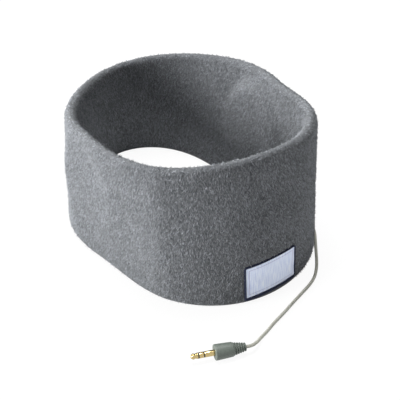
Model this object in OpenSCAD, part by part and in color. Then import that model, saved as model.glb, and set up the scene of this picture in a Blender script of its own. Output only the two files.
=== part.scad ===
// Sleep headphones: a fleece headband with two flat speakers sewn inside, a thin cord and a 3.5 mm plug.
// The frame has its origin on the table under the middle of the band. +Y points to the wearer's forehead,
// -Y to the back of the head, where the label is, and +Z up. All sizes are in millimetres.

/* [Fleece band] */
// Length of the sewn loop, measured along the middle of its wall
band_girth = 520; // [490:5:550]
// Height of the band at the back of the head
back_height = 97; // [92:1:104]
// Height of the band at the forehead
front_height = 74; // [72:1:80]
// Thickness of one layer of fleece
fleece_t = 1.9; // [1.5:0.1:2.3]
// Free space between the two layers, where the leads lie
channel_gap = 2.6; // [2.4:0.1:3.2]
// Height of the hem that is turned up inside along the lower edge
hem_h = 12; // [10:0.5:13]
// Gap between the two sides of the hem where it is sewn
seam_gap = 0.3; // [0.2:0.05:0.6]
// Height by which the outer hem lifts over the cord where it leaves
hem_lift = 4.8; // [4.6:0.1:6]

/* [Lower outline] */
// Depth of the oval wave in the lower outline
lower_oval = 15.1; // [12:0.1:18]
// Direction of its long axis, in degrees
lower_oval_turn = 90; // [84:1:96]
// Depth of the egg-shaped wave in the lower outline
lower_egg = 3.2; // [0.5:0.1:4]
// Direction of the egg's blunt end
lower_egg_turn = 76; // [60:1:90]
// Depth of the four-sided wave in the lower outline
lower_square = 3.2; // [0.5:0.1:4]
// Direction of one of its corners
lower_square_turn = 69; // [60:1:80]
// Depth of the five-sided wave in the lower outline
lower_penta = 1; // [0:0.1:1.5]
// Direction of one of its corners
lower_penta_turn = 7; // [0:1:20]

/* [Upper outline] */
// Depth of the oval wave in the upper outline
upper_oval = 11.9; // [9:0.1:15]
// Direction of its long axis, in degrees
upper_oval_turn = 73; // [68:1:80]
// Depth of the egg-shaped wave in the upper outline
upper_egg = 1.3; // [0:0.1:2.5]
// Direction of the egg's blunt end
upper_egg_turn = 51; // [30:1:70]
// Depth of the four-sided wave in the upper outline
upper_square = 1.3; // [0:0.1:2.5]
// Direction of one of its corners
upper_square_turn = 36; // [20:1:50]
// Depth of the five-sided wave in the upper outline
upper_penta = 1.3; // [0:0.1:2]
// Direction of one of its corners
upper_penta_turn = 9; // [0:1:20]
// How far the upper outline leans to the right
lean_right = 3.1; // [1:0.1:5]
// How far the upper outline leans to the forehead
lean_forward = 4.3; // [2:0.1:6]

/* [Soft folds] */
// Height of the soft corner that stands out at the back left
corner_fold = 1.2; // [0:0.1:2]
// Depth of the two soft folds that press inwards at the right front
front_fold = 1.4; // [0:0.1:2]
// Half width of each soft fold, in degrees round the band
fold_turn = 6; // [5:0.5:8]

/* [Label] */
// Width of the satin label along the band
label_w = 35.5; // [32:0.5:39]
// Height of the satin label
label_h = 20; // [16:1:24]
// Height of the label's lower edge above the table, in its middle
label_z = 4.7; // [4:0.1:6]
// Turn of the label on the band, its right end up, in degrees
label_turn = 2.5; // [0:0.5:4]
// Thickness of the satin
label_t = 0.4; // [0.3:0.1:0.8]
// Width of the dark overlocked edge round the label
label_edge_w = 1.5; // [1:0.1:1.8]
// Thickness of the overlocked edge
label_edge_t = 0.8; // [0.5:0.1:1.2]
// Distance of the label's middle from the back centre, to the right
label_shift = -1.6; // [-6:0.1:4]

/* [Opening at the lower edge] */
// Distance from the right speaker's case back to the place where the cord leaves
exit_gap = 20; // [18:1:23]
// Distance from there to the end of the hook and loop tapes
exit_room = 8; // [7:0.5:9]
// Length of the opening that the hook and loop tapes close
tape_l = 48; // [36:1:60]
// Height of the hook and loop tapes
tape_h = 10; // [8:0.5:10]
// Thickness of each tape
tape_t = 1; // [0.8:0.1:1.1]

/* [Speakers] */
// Distance from the back centre to each speaker's middle
ear_reach = 136; // [134:1:139]
// How far each speaker sits in towards the head, so that the flat cloth over it doesn't stand proud
ear_sink = 1.6; // [0:0.1:2.5]
// Height of each speaker's middle above the table
ear_height = 45; // [43:0.5:46]
// Diameter of the speaker case
case_d = 38; // [37:0.5:40]
// Thickness of the closed speaker case
case_t = 4.2; // [4.1:0.1:4.8]
// Thickness of the case's back
case_floor = 0.7; // [0.5:0.1:0.8]
// Thickness of the case's side wall
case_wall = 1; // [0.8:0.1:1.2]
// Thickness of the perforated grille
grille_t = 0.6; // [0.4:0.1:0.7]
// Diameter of the grille's holes
grille_hole_d = 1.8; // [1.2:0.1:2]
// Distance between the grille's rings of holes
grille_pitch = 3.4; // [3.2:0.1:3.8]
// Thickness of the foam disc on each side of the case
foam_t = 0.8; // [0.6:0.1:1]
// Diameter of the speaker driver
driver_d = 31; // [29:0.5:31.5]
// Thickness of the driver frame's base
frame_floor = 0.5; // [0.4:0.1:0.6]
// Width of the driver frame's rim
frame_rim = 1.2; // [1:0.1:1.6]
// Height of the driver frame
frame_h = 2.1; // [2:0.05:2.3]
// Diameter of the magnet
magnet_d = 11; // [9:0.5:12]
// Thickness of the magnet
magnet_t = 0.8; // [0.6:0.1:0.9]
// Thickness of the steel plate on the magnet
pole_t = 0.4; // [0.3:0.1:0.4]
// Width of the air gap in which the voice coil moves
air_gap = 1.1; // [1:0.1:1.4]
// Wall of the voice coil
coil_wall = 0.4; // [0.3:0.1:0.5]
// Height of the voice coil
coil_h = 1.1; // [0.8:0.05:1.2]
// Wall of the steel cup
cup_wall = 0.7; // [0.5:0.1:0.9]
// Thickness of the steel cup's floor
cup_floor = 0.5; // [0.4:0.1:0.5]
// Thickness of the speaker's film
film_t = 0.15; // [0.1:0.05:0.2]
// Height of the film's dome and of its outer roll
film_rise = 0.4; // [0.2:0.05:0.45]
// Thickness of the damping felt
felt_t = 0.4; // [0.3:0.1:0.6]

/* [Leads and cord] */
// Diameter of each inner lead
lead_d = 1.2; // [1:0.1:1.4]
// Diameter of the cord
cord_d = 2; // [1.8:0.1:2.2]
// Length of the moulded block where the cord splits
split_l = 15; // [13:0.5:16]
// Width of the split block
split_w = 8; // [6:0.5:9]
// Thickness of the split block
split_t = 2.3; // [2.2:0.1:2.6]
// Mean diameter of the wound coil of cord
coil_d = 24; // [22:0.5:26]
// Width of the coil's section, six cords side by side
coil_section_w = 12.7; // [12.4:0.1:13]
// Height of the coil's section, two cords high
coil_section_h = 4.4; // [4.2:0.1:4.8]

/* [Plug] */
// Diameter of the plug's contacts
plug_d = 3.5; // [3.4:0.05:3.6]
// Length of metal that stands out of the grip
plug_l = 14; // [13.5:0.1:15]
// Length of the tip contact
plug_tip_l = 4.2; // [4:0.1:4.6]
// Length of the ring contact
plug_ring_l = 2.6; // [2:0.1:3]
// Width of each black insulating ring
plug_insulator_l = 0.7; // [0.5:0.1:1]
// Diameter of the grip at its front
grip_d = 9.2; // [8.6:0.1:10]
// Diameter of the grip at its back
grip_back_d = 8.4; // [8:0.1:8.8]
// Length of the grip's smooth part
grip_l = 10.6; // [9:0.1:13]
// Radius of the grip's front edge
grip_edge_r = 0.8; // [0.4:0.1:1.4]
// Length of the ribbed strain relief
relief_l = 7.6; // [6:0.1:9]
// Diameter of the relief next to the grip
relief_front_d = 7.8; // [7:0.1:7.9]
// Diameter of the relief at the cord's end
relief_end_d = 4.8; // [4.2:0.1:5.4]
// Depth of the relief's grooves
groove_depth = 0.7; // [0.3:0.1:1]
// Number of grooves in the relief
grooves = 5; // [3:1:6]

/* [Hidden] */
$fn = 48;
SIDES = ["left", "right"];
SPEAKER_PIECES = [
    "foam_back", "case_tray", "terminal_board", "driver_frame", "steel_cup", "magnet",
    "pole_plate", "voice_coil", "diaphragm", "felt_ring", "grille", "foam_front"
];

// Clearance of pieces that are laid or stitched against each other
seat = 0.1;
// Clearance of pieces that lie loose in the fleece or beside it
loose = 0.3;
// Clearance round the cord where it passes the hem
cord_room = 0.6;
// How far cuts run past the faces they open
cut = 1;

stations = 64;
step = 360 / stations;
rows = 8;
back_angle = -90;
wall_t = 2 * fleece_t + channel_gap;
fold_r = wall_t / 2;

function sum(list, i = 0) = i < len(list) ? list[i] + sum(list, i + 1) : 0;
function sum3(list, i = 0) = i < len(list) ? list[i] + sum3(list, i + 1) : [0, 0, 0];
function unit(v) = v / norm(v);
function smooth(x) = let (t = min(1, max(0, x))) t * t * (3 - 2 * t);
function mix(a, b, t) = a + (b - a) * t;

// Outline of an edge: [number of sides, depth, direction] of each wave round the loop
LOWER = [
    [2, lower_oval, lower_oval_turn], [3, lower_egg, lower_egg_turn],
    [4, lower_square, lower_square_turn], [5, lower_penta, lower_penta_turn]
];
UPPER = [
    [2, upper_oval, upper_oval_turn], [3, upper_egg, upper_egg_turn],
    [4, upper_square, upper_square_turn], [5, upper_penta, upper_penta_turn]
];
// Mean radius at which an outline with these waves is as long as the loop
function mean_radius(waves) =
    let (round_r = band_girth / (2 * PI))
    round_r - sum([for (w = waves) pow(w[0] * w[1], 2)]) / (4 * round_r);
function wavy_radius(waves, mean, a) = mean + sum([for (w = waves) w[1] * cos(w[0] * (a - w[2]))]);
lower_mean = mean_radius(LOWER);
upper_mean = mean_radius(UPPER);
function lower_loop(a) = wavy_radius(LOWER, lower_mean, a) * [cos(a), sin(a)];
function upper_loop(a) = wavy_radius(UPPER, upper_mean, a) * [cos(a), sin(a)] + [lean_right, lean_forward];

function height(a) = mix(front_height, back_height, (1 + cos(a - back_angle)) / 2);

// Soft folds, which fade at both edges: [angle at the lower edge, angle at the upper edge, height]
FOLDS = [[-132, -136, corner_fold], [15, 42, -front_fold], [-8, 16, -front_fold]];
function turn_between(a, b) = let (d = (a - b) % 360) d > 180 ? d - 360 : d < -180 ? d + 360 : d;
function fold_shift(a, z) = sqrt(max(0, sin(180 * z / height(a)))) * sum([
    for (f = FOLDS) f[2] * exp(-pow(turn_between(a, mix(f[0], f[1], z / height(a))) / fold_turn, 2))
]);

// The band is moved so that the origin lies under the middle of its box
LOOPS = [for (i = [0 : stations - 1]) each [lower_loop(i * step), upper_loop(i * step)]];
LOOP_X = [for (p = LOOPS) p[0]];
LOOP_Y = [for (p = LOOPS) p[1]];
middle = [(min(LOOP_X) + max(LOOP_X)) / 2, (min(LOOP_Y) + max(LOOP_Y)) / 2];
function lower_point(a) = concat(lower_loop(a) - middle, 0);
function upper_point(a) = concat(upper_loop(a) - middle, height(a));
function straight_wall(a, z) = mix(lower_point(a), upper_point(a), z / height(a));

// Directions at a place of the wall: along the loop, out of it level, and out of it square to its slope
function along(a, z) =
    let (v = straight_wall(a + 0.5, z) - straight_wall(a - 0.5, z))
    unit([v[0], v[1], 0]);
function level_out(a, z) = cross(along(a, z), [0, 0, 1]);
function square_out(a, z) = unit(cross(along(a, z), upper_point(a) - lower_point(a)));

// Angle at a distance along the lower edge from the back centre, positive to the right
function lower_step(way, i) =
    norm(lower_point(back_angle + way * i * step) - lower_point(back_angle + way * (i - 1) * step));
function arc_table(way) = [
    for (i = 0, s = 0; i <= stations / 2; i = i + 1, s = s + lower_step(way, i)) [s, i * step]
];
RIGHT_ARC = arc_table(1);
LEFT_ARC = arc_table(-1);
function angle_at(s) = back_angle + (s < 0 ? -lookup(-s, LEFT_ARC) : lookup(s, RIGHT_ARC));

// Pockets, where a flat piece spreads the layers: [middle, way out, flat radius, soft radius, half gap]
exit_reach = ear_reach - case_d / 2 - exit_gap;
exit_angle = angle_at(exit_reach);
tape_to = angle_at(exit_reach - exit_room);
tape_from = angle_at(exit_reach - exit_room - tape_l);
split_rise = 4;
split_z = hem_h + split_rise + split_l / 2;
ear_stack = case_t + 2 * foam_t;
pocket_room = 5;
ear_flat_r = case_d / 2 + pocket_room;
ear_ease = 14;
ear_soft_r = ear_flat_r + ear_ease;
split_flat_r = split_w / 2 + pocket_room;
split_ease = 7;
split_soft_r = split_flat_r + split_ease;
function ear_angle(side) = angle_at(side == "left" ? -ear_reach : ear_reach);
ear_half = ear_stack / 2 + loose;
// The outer layer stays flat over a speaker, so its pocket bulges towards the head only
function ear_out(side) = square_out(ear_angle(side), ear_height);
function ear_middle(side) =
    straight_wall(ear_angle(side), ear_height)
    - (ear_half - channel_gap / 2 + ear_sink) * ear_out(side);
split_middle = straight_wall(exit_angle, split_z);
split_out = level_out(exit_angle, split_z);
POCKETS = [
    for (side = SIDES) [ear_middle(side), ear_out(side), ear_flat_r, ear_soft_r, ear_half],
    [split_middle, split_out, split_flat_r, split_soft_r, split_t / 2 + loose]
];
function pull(p, k) = smooth((k[3] - norm(p - k[0])) / (k[3] - k[2]));
function channel_middle(a, z) =
    let (p = straight_wall(a, z), q = p + fold_shift(a, z) * level_out(a, z))
    q + sum3([for (k = POCKETS) pull(p, k) * ((k[0] - q) * k[1]) * k[1]]);
function channel_half(a, z) =
    let (p = straight_wall(a, z))
    channel_gap / 2 + sum([for (k = POCKETS) pull(p, k) * (k[4] - channel_gap / 2)]);
function out(a, z) =
    let (p = straight_wall(a, z), n = level_out(a, z))
    unit(n + sum3([for (k = POCKETS) pull(p, k) * (k[1] - n)]));
// A place in the wall: angle, height and distance out from the middle of the channel
function in_wall(a, z, n) = channel_middle(a, z) + n * out(a, z);

// Stations round the band. The one nearest to each end of the opening is moved to it.
OPENING = [tape_from, tape_to, exit_angle];
function station(i) =
    let (a = back_angle + i * step, near = [for (k = OPENING) if (abs(k - a) < step / 2) k])
    len(near) > 0 ? near[0] : a;
function station_below(a) = let (i = floor((a - back_angle) / step + 0.5)) station(i) > a ? i - 1 : i;
function same(a, b) = abs(a - b) < 0.001;

// Half of the gap between the two sides of the hem, and the lift of its outer side
tape_gap = tape_t + 2.5 * seat;
function hem_half(a) =
    same(a, exit_angle) ? cord_d / 2 + cord_room
    : a > tape_from - 0.001 && a < tape_to + 0.001 ? tape_gap : seam_gap / 2;
function lift(a, way) = way > 0 && same(a, exit_angle) ? hem_lift : 0;
// Radius of the hem's outer corner, a share of the cloth's thickness there
function hem_r(a) = 0.6 * (fold_r - hem_half(a));

// Section of the band at a station, as [out, height] points. way is 1 for the outer layer, -1 for the inner
row_rise = 2;
first_row = hem_h + row_rise;
function row_z(a, k) = mix(first_row, height(a) - fold_r, k / rows);
function shown_face(a, way) = concat(
    [for (t = [60, 30]) [way * fold_r * cos(t), height(a) - fold_r + fold_r * sin(t)]],
    [for (k = [rows : -1 : 0]) let (z = row_z(a, k)) [way * (channel_half(a, z) + fleece_t), z]],
    [for (t = [0, 45, 90])
        [way * (fold_r - hem_r(a) * (1 - cos(t))), lift(a, way) + hem_r(a) * (1 - sin(t))]]
);
function channel_face(a, way) = concat(
    [for (z = [lift(a, way), hem_h]) [way * hem_half(a), z]],
    [for (k = [0 : rows]) let (z = row_z(a, k)) [way * channel_half(a, z), z]],
    [for (t = [30, 60])
        [way * channel_gap / 2 * cos(t), height(a) - fold_r + channel_gap / 2 * sin(t)]]
);
function reverse(list) = [for (i = [len(list) - 1 : -1 : 0]) list[i]];
function band_section(a) = concat(
    [[0, height(a)]],
    shown_face(a, 1),
    channel_face(a, 1),
    [[0, height(a) - fold_r + channel_gap / 2]],
    reverse(channel_face(a, -1)),
    reverse(shown_face(a, -1))
);

// Faces of a skin over rings of m points. A closed skin joins its last ring to its first.
function skin_sides(n, m, closed) = [
    for (i = [0 : closed ? n - 1 : n - 2])
        for (k = [0 : m - 1])
            let (this = i * m, next = ((i + 1) % n) * m, up = (k + 1) % m)
            each [[this + k, next + up, this + up], [this + k, next + k, next + up]]
];
function skin_faces(n, m, closed) = closed ? skin_sides(n, m, true) : concat(
    skin_sides(n, m, false),
    [[for (k = [0 : m - 1]) k], [for (k = [m - 1 : -1 : 0]) (n - 1) * m + k]]
);
module skin(rings, closed = false) {
    polyhedron([for (ring = rings) each ring], skin_faces(len(rings), len(rings[0]), closed), convexity = 10);
}

// The band's flat facets between two stations, so that what lies on them follows them
function on_facet(a, z, n) =
    let (i = station_below(a), a0 = station(i), a1 = station(i + 1))
    mix(in_wall(a0, z, n), in_wall(a1, z, n), (a - a0) / (a1 - a0));
function stations_between(a0, a1) = concat(
    [a0],
    [for (i = [station_below(a0) + 1 : station_below(a1)])
        if (station(i) > a0 + 0.2 && station(i) < a1 - 0.2) station(i)],
    [a1]
);

// A tube of eight sides along points. Each ring turns its first corner towards the matching direction in ups.
function tube_rings(points, ups, r) = [
    for (i = [0 : len(points) - 1])
        let (
            t = unit(points[min(i + 1, len(points) - 1)] - points[max(i - 1, 0)]),
            u = unit(ups[i] - (ups[i] * t) * t),
            v = cross(t, u)
        )
        [for (k = [0 : 7]) points[i] + r * (cos(45 * k) * u + sin(45 * k) * v)]
];
module tube(points, ups, r) {
    skin(tube_rings(points, ups, r));
}
function repeat(v, n) = [for (i = [1 : n]) v];
// A smooth line through points, with this many steps from each to the next
function bend_point(a, b, c, d, t) =
    0.5 * (2 * b + (c - a) * t + (2 * a - 5 * b + 4 * c - d) * t * t + (3 * b - 3 * c + d - a) * t * t * t);
function smooth_line(p, steps) = concat(
    [for (i = [0 : len(p) - 2]) for (j = [0 : steps - 1])
        bend_point(p[max(i - 1, 0)], p[i], p[i + 1], p[min(i + 2, len(p) - 1)], j / steps)],
    [p[len(p) - 1]]
);

// Sewn fleece

module fleece_band() {
    rings = [
        for (i = [0 : stations - 1])
            let (a = station(i)) [for (q = band_section(a)) in_wall(a, q[1], q[0])]
    ];
    color("dimgray") skin(rings, true);
}

face_n = fold_r;
label_seat = 2 * seat;
label_middle = label_z + label_h / 2;
label_angle = angle_at(label_shift);
label_pitch = label_w / (angle_at(label_shift + label_w / 2) - angle_at(label_shift - label_w / 2));

// A corner of the turned label, this much larger all round: [angle, height]. The ways are 1 or -1.
function label_corner(way_s, way_z, more) =
    let (s = way_s * (label_w / 2 + more), z = way_z * (label_h / 2 + more))
    [
        angle_at(label_shift + s * cos(label_turn) - z * sin(label_turn)),
        label_middle + s * sin(label_turn) + z * cos(label_turn)
    ];
// The label's lower or upper edge from left to right, with a point where it crosses each station
LABEL_STATIONS = let (
    left = max([for (way = [-1, 1]) label_corner(-1, way, 0)[0]]),
    right = min([for (way = [-1, 1]) label_corner(1, way, 0)[0]])
) stations_between(left, right);
function label_line(way, more) = [for (i = [0 : len(LABEL_STATIONS) - 1])
    i == 0 ? label_corner(-1, way, more)
    : i == len(LABEL_STATIONS) - 1 ? label_corner(1, way, more)
    : let (a = LABEL_STATIONS[i])
        [a, label_middle + (a - label_angle) * label_pitch * tan(label_turn)
            + way * (label_h / 2 + more) / cos(label_turn)]
];

module label() {
    n0 = face_n + label_seat;
    low = label_line(-1, 0);
    high = label_line(1, 0);
    color("lavender") skin([
        for (i = [0 : len(low) - 1])
            [for (c = [[low[i], n0], [high[i], n0], [high[i], n0 + label_t], [low[i], n0 + label_t]])
                on_facet(c[0][0], c[0][1], c[1])]
    ]);
}

// The edge runs once round the label, from its inner to its outer side
module label_edge() {
    n0 = face_n + label_seat;
    n1 = n0 + label_edge_t;
    inner = concat(label_line(-1, seat / 2), reverse(label_line(1, seat / 2)));
    outer = concat(label_line(-1, label_edge_w), reverse(label_line(1, label_edge_w)));
    color("darkslategray") skin([
        for (i = [0 : len(inner) - 1])
            [for (c = [[inner[i], n0], [inner[i], n1], [outer[i], n1], [outer[i], n0]])
                on_facet(c[0][0], c[0][1], c[1])]
    ], true);
}

tape_z = (hem_h - tape_h) / 2;
function on_hem(a, z, n) = mix(on_facet(a, 0, n), on_facet(a, hem_h, n), z / hem_h);
// A tape on one side of the hem, between two distances from the middle of the gap
module tape(n0, n1) {
    corners = [[tape_z, n0], [tape_z + tape_h, n0], [tape_z + tape_h, n1], [tape_z, n1]];
    skin([for (a = stations_between(tape_from, tape_to)) [for (q = corners) on_hem(a, q[0], q[1])]]);
}

module hook_tape() {
    color("black") tape(seat / 2, seat / 2 + tape_t);
}

module loop_tape() {
    color("dimgray") tape(-seat / 2 - tape_t, -seat / 2);
}

// Speakers, each drawn with its back on z = 0 and its front towards +z

case_r = case_d / 2;
driver_r = driver_d / 2;
case_in_r = case_r - case_wall;
film_z = case_floor + frame_h;
cup_in_r = magnet_d / 2 + air_gap;
cup_r = cup_in_r + cup_wall;
magnet_z = case_floor + cup_floor;
coil_r = magnet_d / 2 + air_gap / 2;
rib_t = 0.6;
rib_h = 0.9;
board_t = 0.8;
board_w = 5;
board_r = driver_r + seat + rib_t + seat;
lead_z = case_t / 2;
vents = 6;

module ring(r_out, r_in, h) {
    difference() {
        cylinder(r = r_out, h = h);
        translate([0, 0, -cut]) cylinder(r = r_in, h = h + 2 * cut);
    }
}

module foam_back() {
    color("gray") translate([0, 0, -foam_t]) cylinder(r = case_r, h = foam_t);
}

module foam_front() {
    color("gray") translate([0, 0, case_t]) cylinder(r = case_r, h = foam_t);
}

// The tray has a slot for the lead and a low rib that holds the driver in the middle
module case_tray(back) {
    color("whitesmoke") difference() {
        union() {
            cylinder(r = case_r, h = case_floor);
            ring(case_r, case_in_r, case_t - grille_t);
            ring(driver_r + seat + rib_t, driver_r + seat, case_floor + rib_h);
        }
        slot_y = back > 0 ? case_in_r - cut : -case_r - cut;
        translate([-lead_d / 2 - seat, slot_y, lead_z - lead_d / 2 - seat])
            cube([lead_d + 2 * seat, case_wall + 2 * cut, case_t]);
    }
}

module terminal_board(back) {
    color("darkgreen")
        translate([-board_w / 2, back > 0 ? board_r : -board_r - board_t, case_floor])
            cube([board_w, board_t, case_t - grille_t - case_floor - seat]);
}

module driver_frame() {
    color("slategray") translate([0, 0, case_floor]) difference() {
        union() {
            ring(driver_r, cup_r + seat, frame_floor);
            ring(driver_r, driver_r - frame_rim, frame_h);
        }
        for (i = [0 : vents - 1])
            rotate([0, 0, i * 360 / vents])
                translate([(cup_r + driver_r - frame_rim) / 2, 0, -cut])
                    cylinder(d = 0.45 * (driver_r - frame_rim - cup_r), h = frame_floor + 2 * cut);
    }
}

module steel_cup() {
    color("silver") translate([0, 0, case_floor]) {
        cylinder(r = cup_r, h = cup_floor);
        ring(cup_r, cup_in_r, cup_floor + magnet_t + pole_t);
    }
}

module magnet() {
    color("dimgray") translate([0, 0, magnet_z]) cylinder(d = magnet_d, h = magnet_t);
}

module pole_plate() {
    color("silver") translate([0, 0, magnet_z + magnet_t]) cylinder(d = magnet_d, h = pole_t);
}

module voice_coil() {
    color("orangered") translate([0, 0, film_z - coil_h])
        ring(coil_r + coil_wall / 2, coil_r - coil_wall / 2, coil_h);
}

// The film has a dome inside the voice coil and a roll outside it
dome_r = coil_r - coil_wall;
roll_in_r = coil_r + coil_wall;
roll_out_r = driver_r - frame_rim;
function rise_at(r, r0, r1) = film_rise * sin(180 * (r - r0) / (r1 - r0));
FILM_LINE = concat(
    [for (i = [0 : 4]) let (r = dome_r * i / 4) [r, film_rise * cos(90 * i / 4)]],
    [for (i = [0 : 8])
        let (r = mix(roll_in_r, roll_out_r, i / 8))
        [r, rise_at(r, roll_in_r, roll_out_r)]],
    [[driver_r, 0]]
);

module diaphragm() {
    color("palegoldenrod") translate([0, 0, film_z])
        rotate_extrude()
            polygon(concat(FILM_LINE, reverse([for (q = FILM_LINE) q + [0, film_t]])));
}

module felt_ring() {
    color("black") translate([0, 0, case_floor + frame_floor])
        ring(driver_r - frame_rim - seat, cup_r + seat, felt_t);
}

module grille() {
    color("silver") translate([0, 0, case_t - grille_t]) difference() {
        cylinder(r = case_r, h = grille_t);
        translate([0, 0, -cut]) cylinder(d = grille_hole_d, h = grille_t + 2 * cut);
        for (ring = [1 : 4])
            for (i = [0 : 6 * ring - 1])
                rotate([0, 0, i * 60 / ring])
                    translate([grille_pitch * ring, 0, -cut])
                        cylinder(d = grille_hole_d, h = grille_t + 2 * cut);
    }
}

// Which way the back of the head lies from each speaker's middle, in its own frame
function back_way(side) = side == "left" ? -1 : 1;
module in_pocket(side) {
    inward = -ear_out(side);
    translate(ear_middle(side))
        rotate([0, acos(inward[2]), atan2(inward[1], inward[0])])
            translate([0, 0, -case_t / 2])
                children();
}

// Leads from each speaker to the split block

split_top = split_middle + [0, 0, split_l / 2];
lead_side = split_w / 4;
lead_bend = 13;
lead_pitch = 8;
bend_rise = 1;
run_z = split_top[2] + lead_bend + bend_rise;
function toward_back(side) = (side == "left" ? 1 : -1) * along(ear_angle(side), ear_height);
// Start of a lead: from the terminal board through the case wall, still in the flat part of the pocket
case_exit = 1.5;
function lead_start(side) = [
    for (r = [board_r + board_t, case_r + case_exit]) ear_middle(side) + r * toward_back(side)
];
// Distance along the band at which each lead turns down, and the quarter turn there
function lead_turn(way) = [
    for (t = [0 : 18 : 90])
        [exit_reach + way * (lead_side + lead_bend * (1 - sin(t))), run_z - lead_bend * (1 - cos(t))]
];
function run_line(from, to) = [
    let (count = ceil(abs(to - from) / lead_pitch))
    for (i = [0 : count - 1]) [mix(from, to, i / count), 0]
];
pocket_clear = 6;
LEFT_RUN = run_line(-ear_reach + ear_flat_r + pocket_clear, exit_reach - lead_side - lead_bend);
// The long lead sinks or rises gently from the speaker's height to the height of its turn
function eased(run) = [
    for (i = [0 : len(run) - 1]) [run[i][0], mix(ear_height, run_z, smooth(i / len(run)))]
];
function placed(run) = [for (q = run) channel_middle(angle_at(q[0]), q[1])];
function outs(run) = [for (q = run) out(angle_at(q[0]), q[1])];
function lead_end(way) = split_top + way * lead_side * along(exit_angle, split_z);

lead_tip = 0.6;
module lead(side, run, way) {
    start = lead_start(side);
    end = [lead_end(way) + [0, 0, lead_tip], lead_end(way)];
    color("gray") tube(
        concat(start, placed(run), end),
        concat(repeat(ear_out(side), 2), outs(run), repeat(split_out, 2)),
        lead_d / 2
    );
}

module left_lead() {
    lead("left", concat(eased(LEFT_RUN), lead_turn(-1)), -1);
}

module right_lead() {
    lead("right", lead_turn(1), 1);
}

module split_block() {
    flank = split_w / 2 - split_t / 2;
    color("darkgray") translate(split_middle - [0, 0, split_l / 2])
        rotate([0, 0, atan2(split_out[1], split_out[0]) + 90]) {
            translate([-flank, -split_t / 2, 0]) cube([2 * flank, split_t, split_l]);
            for (way = [-1, 1]) translate([way * flank, 0, 0]) cylinder(d = split_t, h = split_l);
        }
}

// Cord: out under the lifted hem, along the wall to a coil, and back round the band to the plug

cord_r = cord_d / 2;
bend_r = 4;
exit_foot = channel_middle(exit_angle, 0);
exit_way = level_out(exit_angle, 0);
exit_side = along(exit_angle, 0);
exit_n = 5.5;
function exit_arc(t) = exit_foot + bend_r * (1 - cos(t)) * exit_way + [0, 0, cord_r + bend_r * (1 - sin(t))];
exit_end = exit_foot + exit_n * exit_way + [0, 0, cord_r];
EXIT_LINE = concat(
    [for (d = [0, 1]) split_middle - [0, 0, split_l / 2 + d]],
    [channel_middle(exit_angle, hem_h - 1)],
    [for (t = [0 : 22.5 : 90]) exit_arc(t)],
    [exit_end]
);

module cord_exit_run() {
    color("darkgray") tube(EXIT_LINE, repeat(exit_side, len(EXIT_LINE)), cord_r);
}

coil_middle = [88, 12];
// Gap between the outermost turn and the outside of the solid coil
lane_inset = 0.2;
lane_r = (coil_d + coil_section_w) / 2 - cord_r - lane_inset;
// The cord comes in at the coil's lower layer and leaves from its upper one
out_lane_z = 3 * cord_r + 0.1;
// Route points on the table, [right, forward], from the hem to the coil
FLOOR_ROUTE = [[70.7, -35], [72.4, -32], [72.8, -27], [72.4, -17], [71.5, -6], [70.9, 4]];
FLOOR_LINE = concat(
    [exit_end],
    smooth_line(concat(
        [exit_end + 0.8 * exit_way],
        [for (q = FLOOR_ROUTE) concat(q, cord_r)],
        [[coil_middle[0] - lane_r, coil_middle[1] - 3, cord_r]]
    ), 2),
    [[coil_middle[0] - lane_r, coil_middle[1], cord_r]]
);

module cord_floor_run() {
    color("darkgray") tube(FLOOR_LINE, repeat([0, 0, 1], len(FLOOR_LINE)), cord_r);
}

// The coil is one solid ring. Two notches give the flat faces that the cord's ends meet.
coil_bevel = 0.8;
module cord_coil() {
    w = coil_section_w / 2;
    h = coil_section_h;
    c = coil_bevel;
    reach = coil_d / 2;
    notch = cord_d + loose + lane_inset;
    color("darkgray") translate(concat(coil_middle, 0)) difference() {
        rotate_extrude() polygon([
            [reach - w + c, 0], [reach + w - c, 0], [reach + w, c], [reach + w, h - c],
            [reach + w - c, h], [reach - w + c, h], [reach - w, h - c], [reach - w, c]
        ]);
        translate([-reach - w - cut, -reach, -cut]) cube([notch + cut, reach, cut + notch]);
        translate([-reach, -reach - w - cut, out_lane_z - cord_r - loose])
            cube([reach, notch + cut, h]);
    }
}

// Route points from the coil to the plug, [right, forward, height]
OUTER_ROUTE = [
    [81.6, -6.4, 2.5], [79, -9.6, 1.6], [78, -15, 1], [77.4, -25, 1], [75.6, -36, 1],
    [72.6, -44, 1], [67.8, -51.2, 1], [62, -58.4, 1], [57, -66.5, 1], [51.2, -73.9, 1], [43.8, -83, 1],
    [38.5, -89.5, 1], [32.5, -96, 1], [26, -101.5, 1], [18.5, -105.5, 1], [10.5, -108.5, 1],
    [-0.5, -112.5, 1], [-11, -116.5, 1], [-21, -120, 1], [-30, -124, 1.6], [-37.5, -127.3, 2.8],
    [-42.5, -129.6, 3.8]
];
plug_end = [-50, -129.5, grip_d / 2];
plug_turn = 160;
plug_way = [cos(plug_turn), sin(plug_turn), 0];
OUTER_LINE = concat(
    [for (d = [0, 3]) [coil_middle[0] - d, coil_middle[1] - lane_r, out_lane_z]],
    [for (q = smooth_line(OUTER_ROUTE, 2)) [q[0], q[1], max(q[2], cord_r)]],
    [for (d = [3, 0]) plug_end - d * plug_way]
);

module cord_outer_run() {
    color("darkgray") tube(OUTER_LINE, repeat([0, 0, 1], len(OUTER_LINE)), cord_r);
}

// Plug, drawn along +z from the cord's end of its relief and laid on the table

plug_r = plug_d / 2;
sleeve_l = plug_l - plug_tip_l - plug_ring_l - 2 * plug_insulator_l;
shoulder_z = relief_l + grip_l;
outer_insulator_z = shoulder_z + sleeve_l;
ring_z = outer_insulator_z + plug_insulator_l;
inner_insulator_z = ring_z + plug_ring_l;
tip_z = inner_insulator_z + plug_insulator_l;

module laid_down() {
    translate(plug_end) rotate([0, 90, plug_turn]) children();
}

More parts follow.
